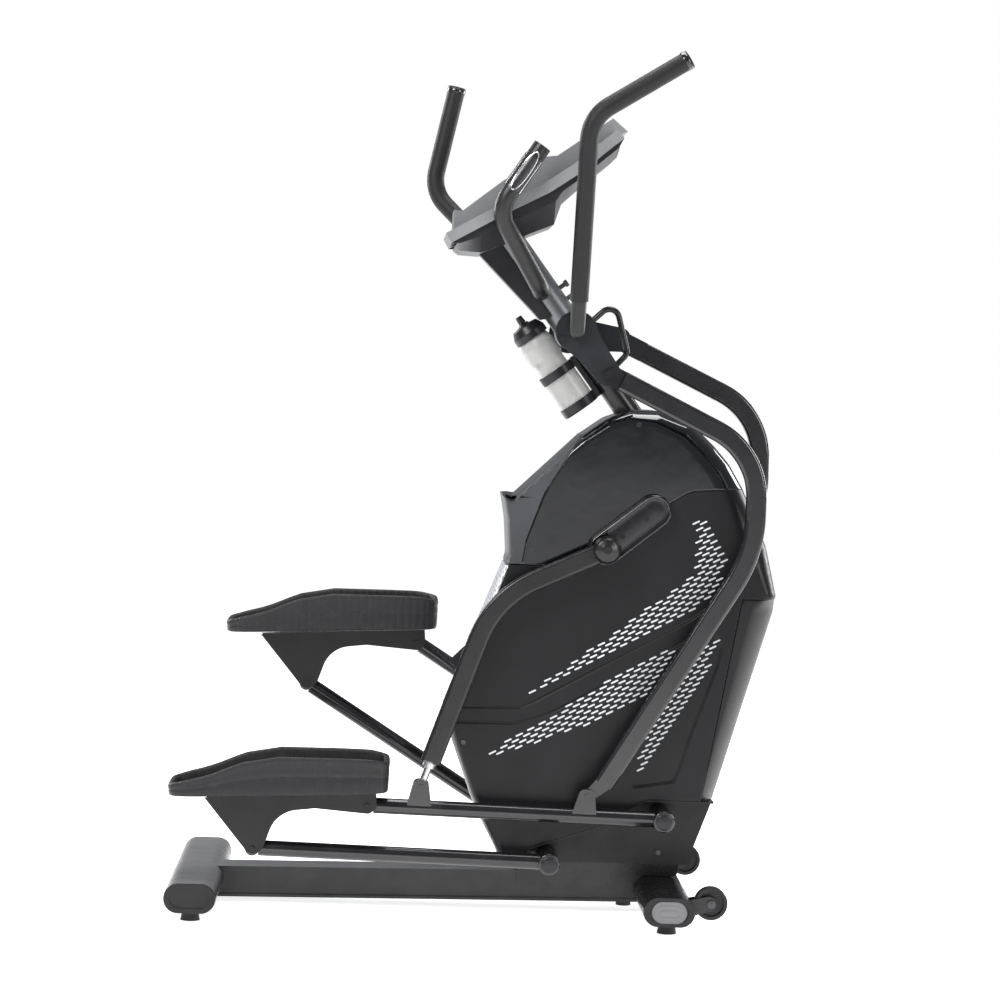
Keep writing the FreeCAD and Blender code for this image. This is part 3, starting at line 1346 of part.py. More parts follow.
def handle_points(side, start=0.0):
    """Handle route: from the axle up and outwards, then bent forward over the grip."""
    turn = side.lever_turn + num("$handle_set")
    hub_y = side.at(ROD_Y + " + 2")
    bend = polar(side.handle, num("$handle_lower"), turn)
    end = polar(bend, num("$handle_upper"), turn - num("$handle_bend"))
    first = Vec(side.handle[0], hub_y, side.handle[1])
    knee = Vec(bend[0], side.at("$handle_y"), bend[1])
    top = Vec(end[0], side.at("$handle_y"), end[1])
    along = knee - first
    along.normalize()
    return [tuple(first + along * start), tuple(knee), tuple(top)]


def handle_tube(side):
    """Handle tube with its rounded foot and the boss that joins it to the lever."""
    points = handle_points(side)
    tube = round_tube(points, [75], "$handle_radius", "$handle_wall")
    ball = doc.addObject("Part::Sphere", "Foot")
    bind(ball, "Radius", "$handle_radius")
    stand(ball, *points[0])
    inner = num(LEVER_Y + " + $lever_plate / 2") + 0.1
    outer = num(ROD_Y)
    boss = cylinder_y("13", str(outer - inner), side.handle[0], side.sign * (inner + outer) / 2,
                      side.handle[1])
    keep(fused([tube, ball, boss]), side.name + "_handle_tube")


def handle_grip(side):
    """Foam sleeve over the handle, with the round plug in its end."""
    points = handle_points(side, 62)
    radius = "$handle_radius + $sleeve_wall"
    sleeve = round_tube(points, [75], radius, "$sleeve_wall - 0.02")
    end, knee = Vec(*points[-1]), Vec(*points[-2])
    along = end - knee
    along.normalize()
    plug = cylinder_along(radius, "5", tuple(end), tuple(along))
    keep(fused([sleeve, plug]), side.name + "_handle_grip")


# ---------------------------------------------------------------- build

def check_document():
    """Stops the script if any object failed or any sub-part is not a valid solid."""
    faults = ["%s (%s)" % (item.Label, item.getStatusString()) for item in doc.Objects
              if "Invalid" in item.State or "Error" in item.State]
    for item in NODES:
        if item.Shape.isNull() or not item.Shape.isValid() or not item.Shape.Solids:
            faults.append("bad shape: " + item.Label)
    if faults:
        raise RuntimeError("; ".join(faults))


def write_parts():
    os.makedirs("parts", exist_ok=True)
    for item in NODES:
        item.Shape.exportStep("parts/%s.step" % item.Label)


def main():
    fill_sheet()
    main_beam()
    keep(stabiliser(num("$rear_x")), "rear_stabiliser")
    front_stabiliser()
    end_caps()
    levelling_feet()
    transport_wheels()
    frame_upright()
    console_mast()
    mast_fairing()
    fixed_axles()
    guard_loop()
    pulse_handlebar()
    pulse_sensors()
    console_lower_shell()
    console_top_shell()
    bottle_parts()
    bottle_cage()
    shroud_parts()
    drive_parts()
    for side in (Side("right", -1, False), Side("left", 1, True)):
        for piece in (upper_link, lower_link, pedal_bracket, pedal_tray, con_rod, rod_end,
                      arm_rod, handle_lever, handle_tube, handle_grip):
            piece(side)
    doc.recompute()
    check_document()
    write_parts()


main()
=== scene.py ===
"""Looks of the elliptical trainer: camera, light, finishes, and the mouldings, caps and grips that
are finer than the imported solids.  Metres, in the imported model's own frame."""
import bpy
import math
import numpy as np
from mathutils import Matrix, Vector


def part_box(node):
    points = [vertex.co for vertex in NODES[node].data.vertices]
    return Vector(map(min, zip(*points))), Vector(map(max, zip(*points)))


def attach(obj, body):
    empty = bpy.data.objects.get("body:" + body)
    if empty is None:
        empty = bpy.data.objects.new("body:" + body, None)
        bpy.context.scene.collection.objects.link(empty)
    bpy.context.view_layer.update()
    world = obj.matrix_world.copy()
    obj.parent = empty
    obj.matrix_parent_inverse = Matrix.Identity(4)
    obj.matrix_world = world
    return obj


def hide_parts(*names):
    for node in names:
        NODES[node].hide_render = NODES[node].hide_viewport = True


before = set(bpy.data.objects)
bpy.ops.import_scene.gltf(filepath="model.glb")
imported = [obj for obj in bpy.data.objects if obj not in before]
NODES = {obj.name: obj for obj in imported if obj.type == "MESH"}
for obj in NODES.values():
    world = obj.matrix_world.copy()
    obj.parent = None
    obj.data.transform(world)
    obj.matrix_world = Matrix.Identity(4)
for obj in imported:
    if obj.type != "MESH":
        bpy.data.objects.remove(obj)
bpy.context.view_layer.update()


# ---------------------------------------------------------------- camera, light and floor

def camera():
    """A long lens a little below the console, turned and rolled by small angles."""
    yaw, pitch, roll = 0.0363, -0.0417, 0.0352
    ahead = Vector((math.sin(yaw) * math.cos(pitch), math.cos(yaw) * math.cos(pitch),
                    math.sin(pitch)))
    level = Vector((math.cos(yaw), -math.sin(yaw), 0))
    above = level.cross(ahead)
    right = math.cos(roll) * level + math.sin(roll) * above
    up = -math.sin(roll) * level + math.cos(roll) * above
    data = bpy.data.cameras.new("camera")
    data.sensor_width = 36
    data.lens = 108.9
    data.clip_end = 60
    eye = bpy.data.objects.new("camera", data)
    bpy.context.scene.collection.objects.link(eye)
    eye.matrix_world = Matrix((right, up, -ahead)).transposed().to_4x4()
    eye.location = (-0.18225, -6.04797, 1.0696)
    bpy.context.scene.camera = eye


def softbox(name, place, target, size, power):
    """A rectangular soft lamp turned towards its target."""
    data = bpy.data.lights.new(name, "AREA")
    data.shape = "RECTANGLE"
    data.size, data.size_y = size
    data.energy = power
    lamp = bpy.data.objects.new(name, data)
    bpy.context.scene.collection.objects.link(lamp)
    lamp.location = place
    lamp.rotation_euler = (Vector(target) - Vector(place)).to_track_quat("-Z", "Y").to_euler()


def studio():
    """White room: bright to look at, dimmer in reflections, with four soft boxes."""
    world = bpy.data.worlds.new("room")
    bpy.context.scene.world = world
    world.use_nodes = True
    tree = world.node_tree
    back = tree.nodes["Background"]
    rays = tree.nodes.new("ShaderNodeLightPath")
    mix = tree.nodes.new("ShaderNodeMix")
    mix.data_type = "RGBA"
    tree.links.new(rays.outputs["Is Camera Ray"], mix.inputs[0])
    mix.inputs[6].default_value = (0.24, 0.245, 0.26, 1)
    mix.inputs[7].default_value = (1, 1, 1, 1)
    tree.links.new(mix.outputs[2], back.inputs["Color"])
    softbox("key", (-2.6, -3.4, 3.6), (0, 0, 0.8), (2.2, 1.6), 190)
    softbox("fill", (3.4, -3.2, 2.2), (0.2, 0, 0.8), (1.4, 2.4), 90)
    softbox("top", (0.2, 0.4, 4.2), (0, 0, 0.6), (3.2, 2.4), 170)
    softbox("rim", (-3.2, 2.8, 2.4), (0, 0, 0.9), (1.6, 2.4), 120)
    softbox("rim_front", (3.6, 2.4, 1.8), (0.2, 0, 0.9), (1.2, 2.2), 90)
    bpy.context.scene.view_settings.view_transform = "Standard"


def floor():
    """Plain pale floor that also glows a little, so that it stays as pale as the room behind."""
    reach = 30.0
    mesh = bpy.data.meshes.new("floor")
    mesh.from_pydata([(-reach, -reach, 0), (reach, -reach, 0), (reach, reach, 0),
                      (-reach, reach, 0)], [], [(0, 1, 2, 3)])
    slab = bpy.data.objects.new("floor", mesh)
    bpy.context.scene.collection.objects.link(slab)
    pale = Finish("floor_pale")
    tone = pale.mix((0.93, 0.93, 0.935), (0.9, 0.9, 0.905), pale.noise(0.8, 2))
    mesh.materials.append(pale.done(base=tone, rough=0.8, emission_color=(0.97, 0.972, 0.975),
                                    emission_strength=0.82))


# ---------------------------------------------------------------- finishes

class Flow:
    """A value on its way through a finish; ordinary arithmetic on it adds the Math nodes."""

    def __init__(self, tree, socket):
        self.tree = tree
        self.socket = socket

    def math(self, kind, *values, clamp=False):
        node = self.tree.nodes.new("ShaderNodeMath")
        node.operation = kind
        node.use_clamp = clamp
        for entry, value in zip(node.inputs, values):
            feed(self.tree, entry, value)
        return Flow(self.tree, node.outputs[0])

    def __add__(self, other):
        return self.math("ADD", self, other)

    def __radd__(self, other):
        return self.math("ADD", other, self)

    def __sub__(self, other):
        return self.math("SUBTRACT", self, other)

    def __rsub__(self, other):
        return self.math("SUBTRACT", other, self)

    def __mul__(self, other):
        return self.math("MULTIPLY", self, other)

    def __rmul__(self, other):
        return self.math("MULTIPLY", other, self)

    def __truediv__(self, other):
        return self.math("DIVIDE", self, other)

    def __pow__(self, other):
        return self.math("POWER", self, other)

    def size(self):
        return self.math("ABSOLUTE", self)

    def lowest(self, other):
        return self.math("MINIMUM", self, other)

    def highest(self, other):
        return self.math("MAXIMUM", self, other)

    def wave(self):
        return self.math("SINE", self)

    def held(self):
        """Kept between 0 and 1."""
        return self.math("ADD", self, 0.0, clamp=True)


def feed(tree, entry, value):
    """Links a flow to a socket, or sets the socket to a number or a colour."""
    if isinstance(value, Flow):
        tree.links.new(value.socket, entry)
    elif isinstance(value, tuple) and len(value) == 3 and entry.type == "RGBA":
        entry.default_value = value + (1,)
    else:
        entry.default_value = value


class Finish:
    """One material, made from a Principled shader and the nodes that vary it."""

    def __init__(self, name):
        self.material = bpy.data.materials.new(name)
        self.material.use_nodes = True
        self.tree = self.material.node_tree
        self.shader = self.tree.nodes["Principled BSDF"]
        self.place = self.node("ShaderNodeTexCoord", out="Object")

    def node(self, kind, settings=(), inputs=(), out=0):
        """Any node: its type, its settings, then the values or links of its sockets."""
        made = self.tree.nodes.new(kind)
        for key, value in dict(settings).items():
            setattr(made, key, value)
        for key, value in dict(inputs).items():
            feed(self.tree, made.inputs[key], value)
        return Flow(self.tree, made.outputs[out])

    def axis(self, letter):
        return self.node("ShaderNodeSeparateXYZ", (), {0: self.place}, letter)

    def scaled(self, sizes, turn=(0, 0, 0), centre=(0, 0, 0)):
        """Object coordinates, centred, turned and scaled."""
        return self.node("ShaderNodeMapping", {"vector_type": "TEXTURE"},
                         {"Vector": self.place, "Location": centre, "Rotation": turn,
                          "Scale": sizes})

    def noise(self, scale, detail=3, rough=0.5, at=None):
        return self.node("ShaderNodeTexNoise", (), {"Vector": at or self.place, "Scale": scale,
                                                    "Detail": detail, "Roughness": rough})

    def cells(self, scale, at=None, feature="F1"):
        return self.node("ShaderNodeTexVoronoi", {"feature": feature},
                         {"Vector": at or self.place, "Scale": scale})

    def attribute(self, name):
        return self.node("ShaderNodeAttribute", {"attribute_name": name}, (), "Fac")

    def mix(self, first, second, share):
        """Colour between two colours."""
        return self.node("ShaderNodeMix", {"data_type": "RGBA"},
                         {0: share, 6: first, 7: second}, 2)

    def span(self, value, low, high, start=0.0, end=1.0):
        """A value's range carried to another range, held at the ends."""
        return self.node("ShaderNodeMapRange", {"clamp": True},
                         {0: value, 1: low, 2: high, 3: start, 4: end})

    def bump(self, height, depth, under=None):
        inputs = {"Height": height, "Distance": depth, "Strength": 1.0}
        if under:
            inputs["Normal"] = under
        return self.node("ShaderNodeBump", (), inputs)

    def done(self, base=None, rough=None, metal=None, normal=None, **fixed):
        """Joins the varying values to the shader and sets its fixed ones by socket name."""
        for name, value in (("Base Color", base), ("Roughness", rough), ("Metallic", metal),
                            ("Normal", normal)):
            if value is not None:
                feed(self.tree, self.shader.inputs[name], value)
        for name, value in fixed.items():
            entry = self.shader.inputs[name.replace("_", " ").title().replace("Ior", "IOR")]
            entry.default_value = value + (1,) if isinstance(value, tuple) else value
        return self.material


def moulded(name, tone, rough, grain=900, depth=0.00006, shade=1.35, **fixed):
    """Injection-moulded plastic: spark-eroded grain, faint flow marks and handling polish."""
    f = Finish(name)
    fixed.setdefault("specular_ior_level", 0.32)
    flow = f.noise(7, 3, 0.6, f.scaled((1, 1, 2.4)))
    rubbed = f.noise(23, 4, 0.65)
    lighter = tuple(min(1, c * shade + 0.0012) for c in tone)
    colour = f.mix(tone, lighter, f.span(flow, 0.35, 0.7))
    finish = f.span(rubbed, 0.35, 0.7, rough - 0.05, rough + 0.07)
    fine = f.noise(grain, 2, 0.5)
    return f.done(base=colour, rough=finish, normal=f.bump(fine, depth), **fixed)


def lacquered(name, tone, rough, metal=0.0, flake=0.0, **fixed):
    """Powder coat over steel: orange-peel skin, tiny bright specks and scuffs along the runs."""
    f = Finish(name)
    fixed.setdefault("specular_ior_level", 0.4)
    peel = f.noise(420, 2, 0.45)
    scuff = f.noise(60, 5, 0.7, f.scaled((1, 1, 0.25)))
    worn = f.span(scuff, 0.66, 0.8)
    bright = tuple(min(1, c * 1.6 + 0.005) for c in tone)
    colour = f.mix(f.mix(tone, bright, f.span(f.noise(12, 3), 0.3, 0.75, 0, 0.6)), bright, worn)
    if flake:
        speck = f.cells(2600)
        colour = f.mix(colour, tuple(min(1, c * 1.9 + 0.02) for c in tone),
                       f.span(speck, 0.12, 0.02) * flake)
    return f.done(base=colour, rough=f.span(f.noise(30, 3), 0.3, 0.7, rough - 0.04, rough + 0.06),
                  metal=metal, normal=f.bump(peel, 0.00007), **fixed)


def bare_metal(name, tone, rough, turn_marks=True):
    """Plated or machined steel with fine tool lines and a little tarnish."""
    f = Finish(name)
    lines = f.noise(900, 2, 0.4, f.scaled((1, 30, 1) if turn_marks else (1, 1, 30)))
    stain = f.noise(45, 4, 0.6)
    darker = tuple(c * 0.72 for c in tone)
    return f.done(base=f.mix(tone, darker, f.span(stain, 0.45, 0.75)),
                  rough=f.span(stain, 0.35, 0.7, rough - 0.05, rough + 0.12), metal=1.0,
                  normal=f.bump(lines, 0.00003))


def foam(name, tone):
    """Closed-cell foam sleeve: fine open pores and a soft mottled skin."""
    f = Finish(name)
    pores = f.cells(1100)
    fine = f.noise(1600, 3, 0.6)
    mottle = f.noise(38, 4, 0.6)
    colour = f.mix(tone, tuple(c * 1.7 for c in tone), f.span(mottle, 0.35, 0.75, 0, 0.8))
    # painted shade: the colour darkens at each pore, as if in its pit
    colour = f.mix(colour, (0.004, 0.004, 0.004), f.span(pores, 0.22, 0.05) * 0.5)
    return f.done(base=colour, rough=f.span(mottle, 0.3, 0.7, 0.46, 0.6),
                  normal=f.bump(fine * 0.5 + f.span(pores, 0.0, 0.5) * 0.5, 0.00016),
                  specular_ior_level=0.3)


def rubbery(name, tone):
    """Moulded rubber with a dusty bloom."""
    f = Finish(name)
    bloom = f.noise(26, 5, 0.7)
    return f.done(base=f.mix(tone, tuple(c * 2 + 0.01 for c in tone), f.span(bloom, 0.45, 0.8)),
                  rough=f.span(bloom, 0.3, 0.7, 0.62, 0.8), normal=f.bump(f.noise(700, 3), 0.00012))


# ---------------------------------------------------------------- surfaces

def loft(rings, ends=True):
    """Skin over closed rings of equal count, one after another, with a fan from each end ring to
    its middle; faces are turned outwards by the sign of the enclosed volume."""
    rows, cols = rings.shape[:2]
    here = np.arange(rows * cols).reshape(rows, cols)
    beside = np.roll(here, -1, axis=1)
    verts = rings.reshape(-1, 3)
    quads = np.stack([here[:-1], beside[:-1], beside[1:], here[1:]], -1).reshape(-1, 4)
    fans = np.zeros((0, 3), int)
    if ends:
        verts = np.vstack([verts, rings[0].mean(0), rings[-1].mean(0)])
        low, high = np.full(cols, rows * cols), np.full(cols, rows * cols + 1)
        fans = np.vstack([np.stack([beside[0], here[0], low], -1),
                          np.stack([here[-1], beside[-1], high], -1)])
    halves = np.vstack([quads[:, :3], quads[:, [0, 2, 3]], fans])
    a, b, c = (verts[halves[:, k]] for k in range(3))
    if np.einsum("ij,ij->", a, np.cross(b, c)) < 0:
        quads, fans = quads[:, ::-1], fans[:, ::-1]
    return verts, quads.tolist() + fans.tolist()


def together(forms):
    """Several separate forms as one list of points and faces."""
    verts, faces, start = [], [], 0
    for points, sides in forms:
        verts.append(points)
        faces += [[start + k for k in side] for side in sides]
        start += len(points)
    return np.vstack(verts), faces


def piece(name, form, body, finish, swap=(), crease=32, traits=()):
    """A finished piece that rides on a body; traits are values stored at its points."""
    verts, faces = form
    mesh = bpy.data.meshes.new(name)
    mesh.from_pydata(verts.tolist(), [], faces)
    mesh.shade_smooth()
    mesh.set_sharp_from_angle(angle=math.radians(crease))
    for key, values in dict(traits).items():
        mesh.attributes.new(key, "FLOAT", "POINT").data.foreach_set("value", values)
    mesh.materials.append(finish)
    made = bpy.data.objects.new(name, mesh)
    bpy.context.scene.collection.objects.link(made)
    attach(made, body)
    if swap:
        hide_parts(*swap)
    return made


def axes_of(direction):
    """Two unit vectors square to a direction and to each other."""
    along = np.asarray(direction, float)
    along = along / np.linalg.norm(along)
    first = np.cross(along, (0.31, 0.95, 0.05))
    first /= np.linalg.norm(first)
    return along, first, np.cross(along, first)


def revolved(profile, place, direction, sides=40, lobes=None):
    """Each profile point (radius, height) is a circle round the axis: place + height * along
    + radius * (cos t, sin t); lobes scales the radius by the angle for chosen points."""
    along, first, second = axes_of(direction)
    turn = np.linspace(0, 2 * np.pi, sides, endpoint=False)
    outline = np.asarray(profile, float)
    scale = np.ones((len(outline), sides))
    for index, shape in (lobes or {}).items():
        scale[index] = shape(turn)
    circle = np.cos(turn)[:, None] * first + np.sin(turn)[:, None] * second
    rings = (np.asarray(place, float) + outline[:, 1, None, None] * along
             + (outline[:, 0, None] * scale)[..., None] * circle)
    return loft(rings)


def hexagon(turn):
    """Radius of a hexagon with unit inner circle at an angle."""
    sixth = np.pi / 3
    return 1 / np.cos((turn + sixth / 2) % sixth - sixth / 2)


def socket_screw(place, direction, radius, height):
    """Cap screw: chamfered head with a hexagon socket sunk from its face."""
    r, h = radius, height
    profile = [(r * 0.98, -h * 0.2), (r, 0), (r, h * 0.82), (r * 0.9, h), (r * 0.52, h),
               (r * 0.46, h * 0.94), (r * 0.44, h * 0.35), (r * 0.1, h * 0.35)]
    return revolved(profile, place, direction, 36, {5: hexagon, 6: hexagon})


def edge_line(points, step):
    """A closed outline cut into even steps that keep its corners: points and their own shares."""
    corners = np.asarray(points, float)
    after = np.roll(corners, -1, axis=0)
    runs = []
    for start, end in zip(corners, after):
        count = max(1, int(np.ceil(np.linalg.norm(end[:2] - start[:2]) / step)))
        share = np.arange(count)[:, None] / count
        runs.append(start * (1 - share) + end * share)
    return np.vstack(runs)


def softened(ring, amount, passes):
    """Runs a three-point average round a closed ring, as far as each point's amount allows."""
    line = ring.copy()
    for _ in range(passes):
        mean = (np.roll(line, 1, 0) + line + np.roll(line, -1, 0)) / 3
        line = line + (mean - line) * amount[:, None]
    return line


def outline_distance(points, corners, closed=True):
    """Distance of each point to a chain of straight edges, and the share-weighted third value
    of the nearest edge's corners."""
    start = corners if closed else corners[:-1]
    end = np.roll(corners, -1, 0) if closed else corners[1:]
    run = end[:, :2] - start[:, :2]
    offset = points[:, None, :] - start[None, :, :2]
    share = np.clip((offset * run).sum(-1) / (run ** 2).sum(-1), 0, 1)
    gap = np.linalg.norm(offset - share[..., None] * run, axis=-1)
    nearest = gap.argmin(1)
    rows = np.arange(len(points))
    part = share[rows, nearest]
    value = start[nearest, 2] * (1 - part) + end[nearest, 2] * part
    return gap[rows, nearest], value


def inside(points, corners):
    """True where a point lies within a closed outline: it crosses an odd number of edges."""
    x, z = points[:, 0, None], points[:, 1, None]
    x1, z1 = corners[:, 0], corners[:, 1]
    x2, z2 = np.roll(x1, -1), np.roll(z1, -1)
    crossed = ((z1 > z) != (z2 > z)) & (x < (x2 - x1) * (z - z1) / (z2 - z1 + 1e-12) + x1)
    return crossed.sum(1) % 2 == 1


# ---------------------------------------------------------------- shroud

MM = 0.001
CRANK = np.mean(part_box("crank_axle"), axis=0)[[0, 2]]
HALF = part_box("shroud_left")[1][1]
FLAT = 0.052

# from the crank axle: x, z and the depth of the rounded shoulder, in millimetres
SILHOUETTE = np.array([
    (-300, 25, 6), (-280, 15, 6), (-149, 143, 14), (-97, 181, 18), (-49, 199, 22), (7, 199, 30),
    (72, 176, 38), (120, 131, 42), (150, 97, 42), (179, 49, 42), (230, -64, 42), (253, -161, 22),
    (249, -195, 45), (139, -587, 32), (107, -675, 20), (104, -706, 12), (-282, -706, 12),
    (-287, -687, 14), (-323, -620, 16), (-343, -577, 16), (-383, -468, 16), (-402, -409, 16),
    (-349, -267, 16), (-296, -131, 14), (-285, -99, 8), (-290, -30, 8)]) * MM


def shroud_depth(points, sharp=2.0):
    """Half thickness at a place: flat wall, then a quarter of a superellipse over the shoulder,
    then the side face."""
    gap, shoulder = outline_distance(points.reshape(-1, 2), SILHOUETTE)
    rise = np.clip(gap / shoulder, 0, 1)
    depth = FLAT + (HALF - FLAT) * (1 - (1 - rise) ** sharp) ** (1 / sharp)
    return depth.reshape(points.shape[:-1])


def moulding(outline, centre, depth, mirrored, side=-1, lip=0.0016, seam=0.0005, floor_y=0.001):
    """Closed panel.  Each ring is the outline drawn towards a centre by a share; its depth comes
    from a height function, rounded over by a small lip at the panel's own edge.  A panel that
    crosses the middle has the same rings on both sides."""
    step, passes = 0.005, 6
    ring = edge_line(np.asarray(outline, float) * (MM, MM, 1), step)
    flat_ring = softened(ring[:, :2], ring[:, 2], passes)
    middle = np.asarray(centre) * MM
    inward = middle - flat_ring
    inward /= np.linalg.norm(inward, axis=1)[:, None]
    flat_ring = flat_ring + inward * seam
    shares = np.array([0, 0.002, 0.006, 0.013, 0.024, 0.04, 0.06, 0.085, 0.115, 0.15, 0.19, 0.235,
                       0.285, 0.34, 0.4, 0.46, 0.53, 0.6, 0.68, 0.76, 0.84, 0.92, 0.97])
    grid = flat_ring[None] * (1 - shares[:, None, None]) + middle * shares[:, None, None]
    own = np.column_stack([flat_ring, np.zeros(len(flat_ring))])
    gap, _ = outline_distance(grid.reshape(-1, 2), own[::3])
    rounding = np.clip(gap.reshape(grid.shape[:2]) / lip, 0, 1)
    face = depth(grid) - lip * (1 - np.sqrt(1 - (1 - rounding) ** 2))
    place = grid + CRANK
    front = np.stack([place[..., 0], face, place[..., 1]], -1)
    if mirrored:
        back = front[::-1] * (1, -1, 1)
        waist = front[:1] * (1, 0, 1)
        return loft(np.concatenate([back, waist, front]))
    edge = front[0]
    steps = np.array([0.0, 0.5])[:, None, None]
    wall = edge[None] * (1, 0, 1) + (0, 1, 0) * (floor_y + (edge[None, :, 1:2] - floor_y) * steps)
    lid = (wall[0] * 0.4 + wall[0].mean(0) * 0.6)[None]
    rings = np.concatenate([lid, wall, front])
    verts, faces = loft(rings * (1, side, 1))
    return verts, faces


# from the crank axle, in millimetres: the seams of the upper cover, the pressed lines and the
# outline of the sunk field
JOINT_LINE = [(-206, -114), (-175, -104), (41, 23), (72, 43), (166, 49)]
VISOR_LINE = [(-165, 118), (-216, 32), (-252, -68)]
GROOVES = {"upper_line": [(-420, -399), (-243, -395), (82, -212), (112, -190)],
           "lower_line": [(-420, -428), (-258, -427), (-195, -408), (52, -270), (80, -252)]}
RECESS = np.array([(60, -535), (68, -514), (90, -440), (139, -299), (145, -262), (128, -234),
                   (104, -240), (50, -330), (-32, -480), (-22, -548)]) * MM


def shroud_finish(name, tone, rough, gloss):
    """Side panel: matte grain with pressed lines and a sunk field, the lines and the field's edge
    darkened as painted shade, or a clear-coated cover.
    """
    if gloss:
        f = Finish(name)
        swirl = f.noise(6, 3, 0.6, f.scaled((1, 1, 2)))
        dust = f.noise(120, 5, 0.75)
        tint = f.mix(tone, tuple(c * 1.5 for c in tone), f.span(swirl, 0.3, 0.7))
        return f.done(base=f.mix(tint, (0.05, 0.05, 0.055), f.span(dust, 0.68, 0.86) * 0.2),
                      rough=f.span(f.noise(18, 4), 0.3, 0.75, rough, rough + 0.08),
                      normal=f.bump(f.noise(14, 2), 0.0004), coat_weight=0.6, coat_roughness=0.06)
    f = Finish(name)
    flow = f.noise(5, 3, 0.6, f.scaled((1, 1, 2.2)))
    rubbed = f.noise(26, 4, 0.65)
    upper = f.attribute("upper_line").size()
    lower = f.attribute("lower_line").size()
    grooves = f.span(upper.lowest(lower), 0.0012, 0.0034)
    field = f.span(f.attribute("recess"), -0.004, 0.003)
    rim = f.span(f.attribute("recess").size(), 0.0, 0.004)
    height = grooves * 0.5 + field * 0.5
    tint = f.mix(tone, tuple(c * 1.45 + 0.0008 for c in tone), f.span(flow, 0.3, 0.72))
    # painted shade: the colour falls to a quarter of the tone along the pressed lines and darkens
    # partly at the edge of the sunk field
    tint = f.mix(tuple(c * 0.25 for c in tone), tint, (grooves * (rim * 0.35 + 0.65)).held())
    grain = f.bump(f.noise(1100, 2), 0.00006)
    return f.done(base=tint, rough=f.span(rubbed, 0.3, 0.72, rough - 0.05, rough + 0.06),
                  normal=f.bump(height, 0.003, grain), specular_ior_level=0.24)


def side_traits(verts):
    """Signed distances of a side panel's points to its pressed lines and to its sunk field."""
    flat = verts[:, [0, 2]] - CRANK
    traits = {}
    for key, line in GROOVES.items():
        path = np.array(line) * MM
        gap = (flat[:, 1] - np.interp(flat[:, 0], path[:, 0], path[:, 1])) * 0.88
        beyond = np.clip(flat[:, 0] - path[-1, 0], 0, None) + np.clip(0.02 - np.abs(gap), 0, None)
        traits[key] = np.where(flat[:, 0] > path[-1, 0], np.abs(gap) + beyond, gap)
    closed = np.column_stack([RECESS, np.zeros(len(RECESS))])
    gap, _ = outline_distance(flat, closed)
    traits["recess"] = np.where(inside(flat, RECESS), -gap, gap)
    return traits


def shroud():
    """All outer mouldings: glossy upper covers, matte sides, visor, front cover, rear strip."""
    matte = shroud_finish("shroud_matte", (0.0055, 0.0055, 0.0062), 0.34, False)
    gloss = shroud_finish("cover_gloss", (0.0022, 0.0024, 0.0036), 0.08, True)
    top = [(-146, 146, 0), (-97, 181, 0.9), (-49, 199, 0.9), (7, 199, 0.9), (72, 176, 0.9),
           (120, 131, 0.9), (150, 97, 0.9), (179, 49, 0)]
    cover = ([(-257.5, -113, 0)] + [(x, z, 0.6) for x, z in JOINT_LINE] + top[::-1]
             + [(x, z, 0.3) for x, z in VISOR_LINE])
    panel = ([(x, z, 0.6) for x, z in JOINT_LINE]
             + [(179, 49, 0), (230, -64, 0.9), (253, -161, 0.3), (251, -168, 0), (182, -168, 0),
                (114, -573, 0), (2, -573, 0.5), (-81, -626, 0.5), (-228, -676, 0.3),
                (-246, -706, 0), (-282, -706, 0), (-287, -687, 0.5), (-323, -620, 0.8),
                (-343, -577, 0.8), (-383, -468, 0.8), (-399, -412, 0), (-391, -405, 0),
                (-283, -114, 0)])
    for name, side in (("right", -1), ("left", 1)):
        form = moulding(cover, (-40, 60), shroud_depth, False, side)
        piece("upper_cover_" + name + "_shell", form, "frame", gloss,
              ["upper_cover_" + name])
        form = moulding(panel, (60, -150), shroud_depth, False, side)
        piece("side_panel_" + name, form, "frame", matte, ["shroud_" + name],
              traits=side_traits(form[0]))
    visor = [(-146, 146, 0), (-149, 143, 0), (-280, 15, 0.2), (-300, 25, 0.2), (-290, -30, 0.6),
             (-285, -99, 0.3), (-288, -113, 0), (-257.5, -113, 0), (-252, -68, 0.3),
             (-216, 32, 0.3), (-165, 118, 0.3)]
    piece("visor_shell", moulding(visor, (-240, 20), shroud_depth, True), "frame",
          moulded("visor_grey", (0.04, 0.041, 0.046), 0.34), ["visor"])
    front = [(182, -168, 0), (251, -168, 0), (249, -195, 0.3), (141, -573, 0), (114, -573, 0)]

    def creased(points):
        """The shroud's thickness with a crease in place of the round shoulder."""
        return shroud_depth(points, 1.25)

    piece("front_cover_shell", moulding(front, (172, -370), creased, True), "frame",
          moulded("front_satin", (0.0055, 0.0055, 0.0062), 0.3),
          ["front_cover"])
    rear = [(-283, -116, 0), (-289, -116, 0), (-296, -131, 0.4), (-349, -267, 0.4),
            (-401, -408, 0), (-391, -408, 0)]
    piece("rear_panel_shell", moulding(rear, (-342, -265), shroud_depth, True), "frame",
          ribbed_silver(), ["rear_panel"])
    slots()


def ribbed_silver():
    """Light painted strip with rows of small pressed cells."""
    f = Finish("rear_silver")
    x, y, z = f.axis("X"), f.axis("Y"), f.axis("Z")
    across = (y * 420).wave()
    along = ((z + x * 0.4) * 300).wave()
    cell = f.span(across * along, 0.1, 0.55)
    tint = f.mix((0.5, 0.51, 0.54), (0.16, 0.165, 0.18), cell)
    return f.done(base=tint, rough=f.span(f.noise(40, 3), 0.3, 0.7, 0.34, 0.46),
                  metal=0.35, normal=f.bump(cell, 0.0008))


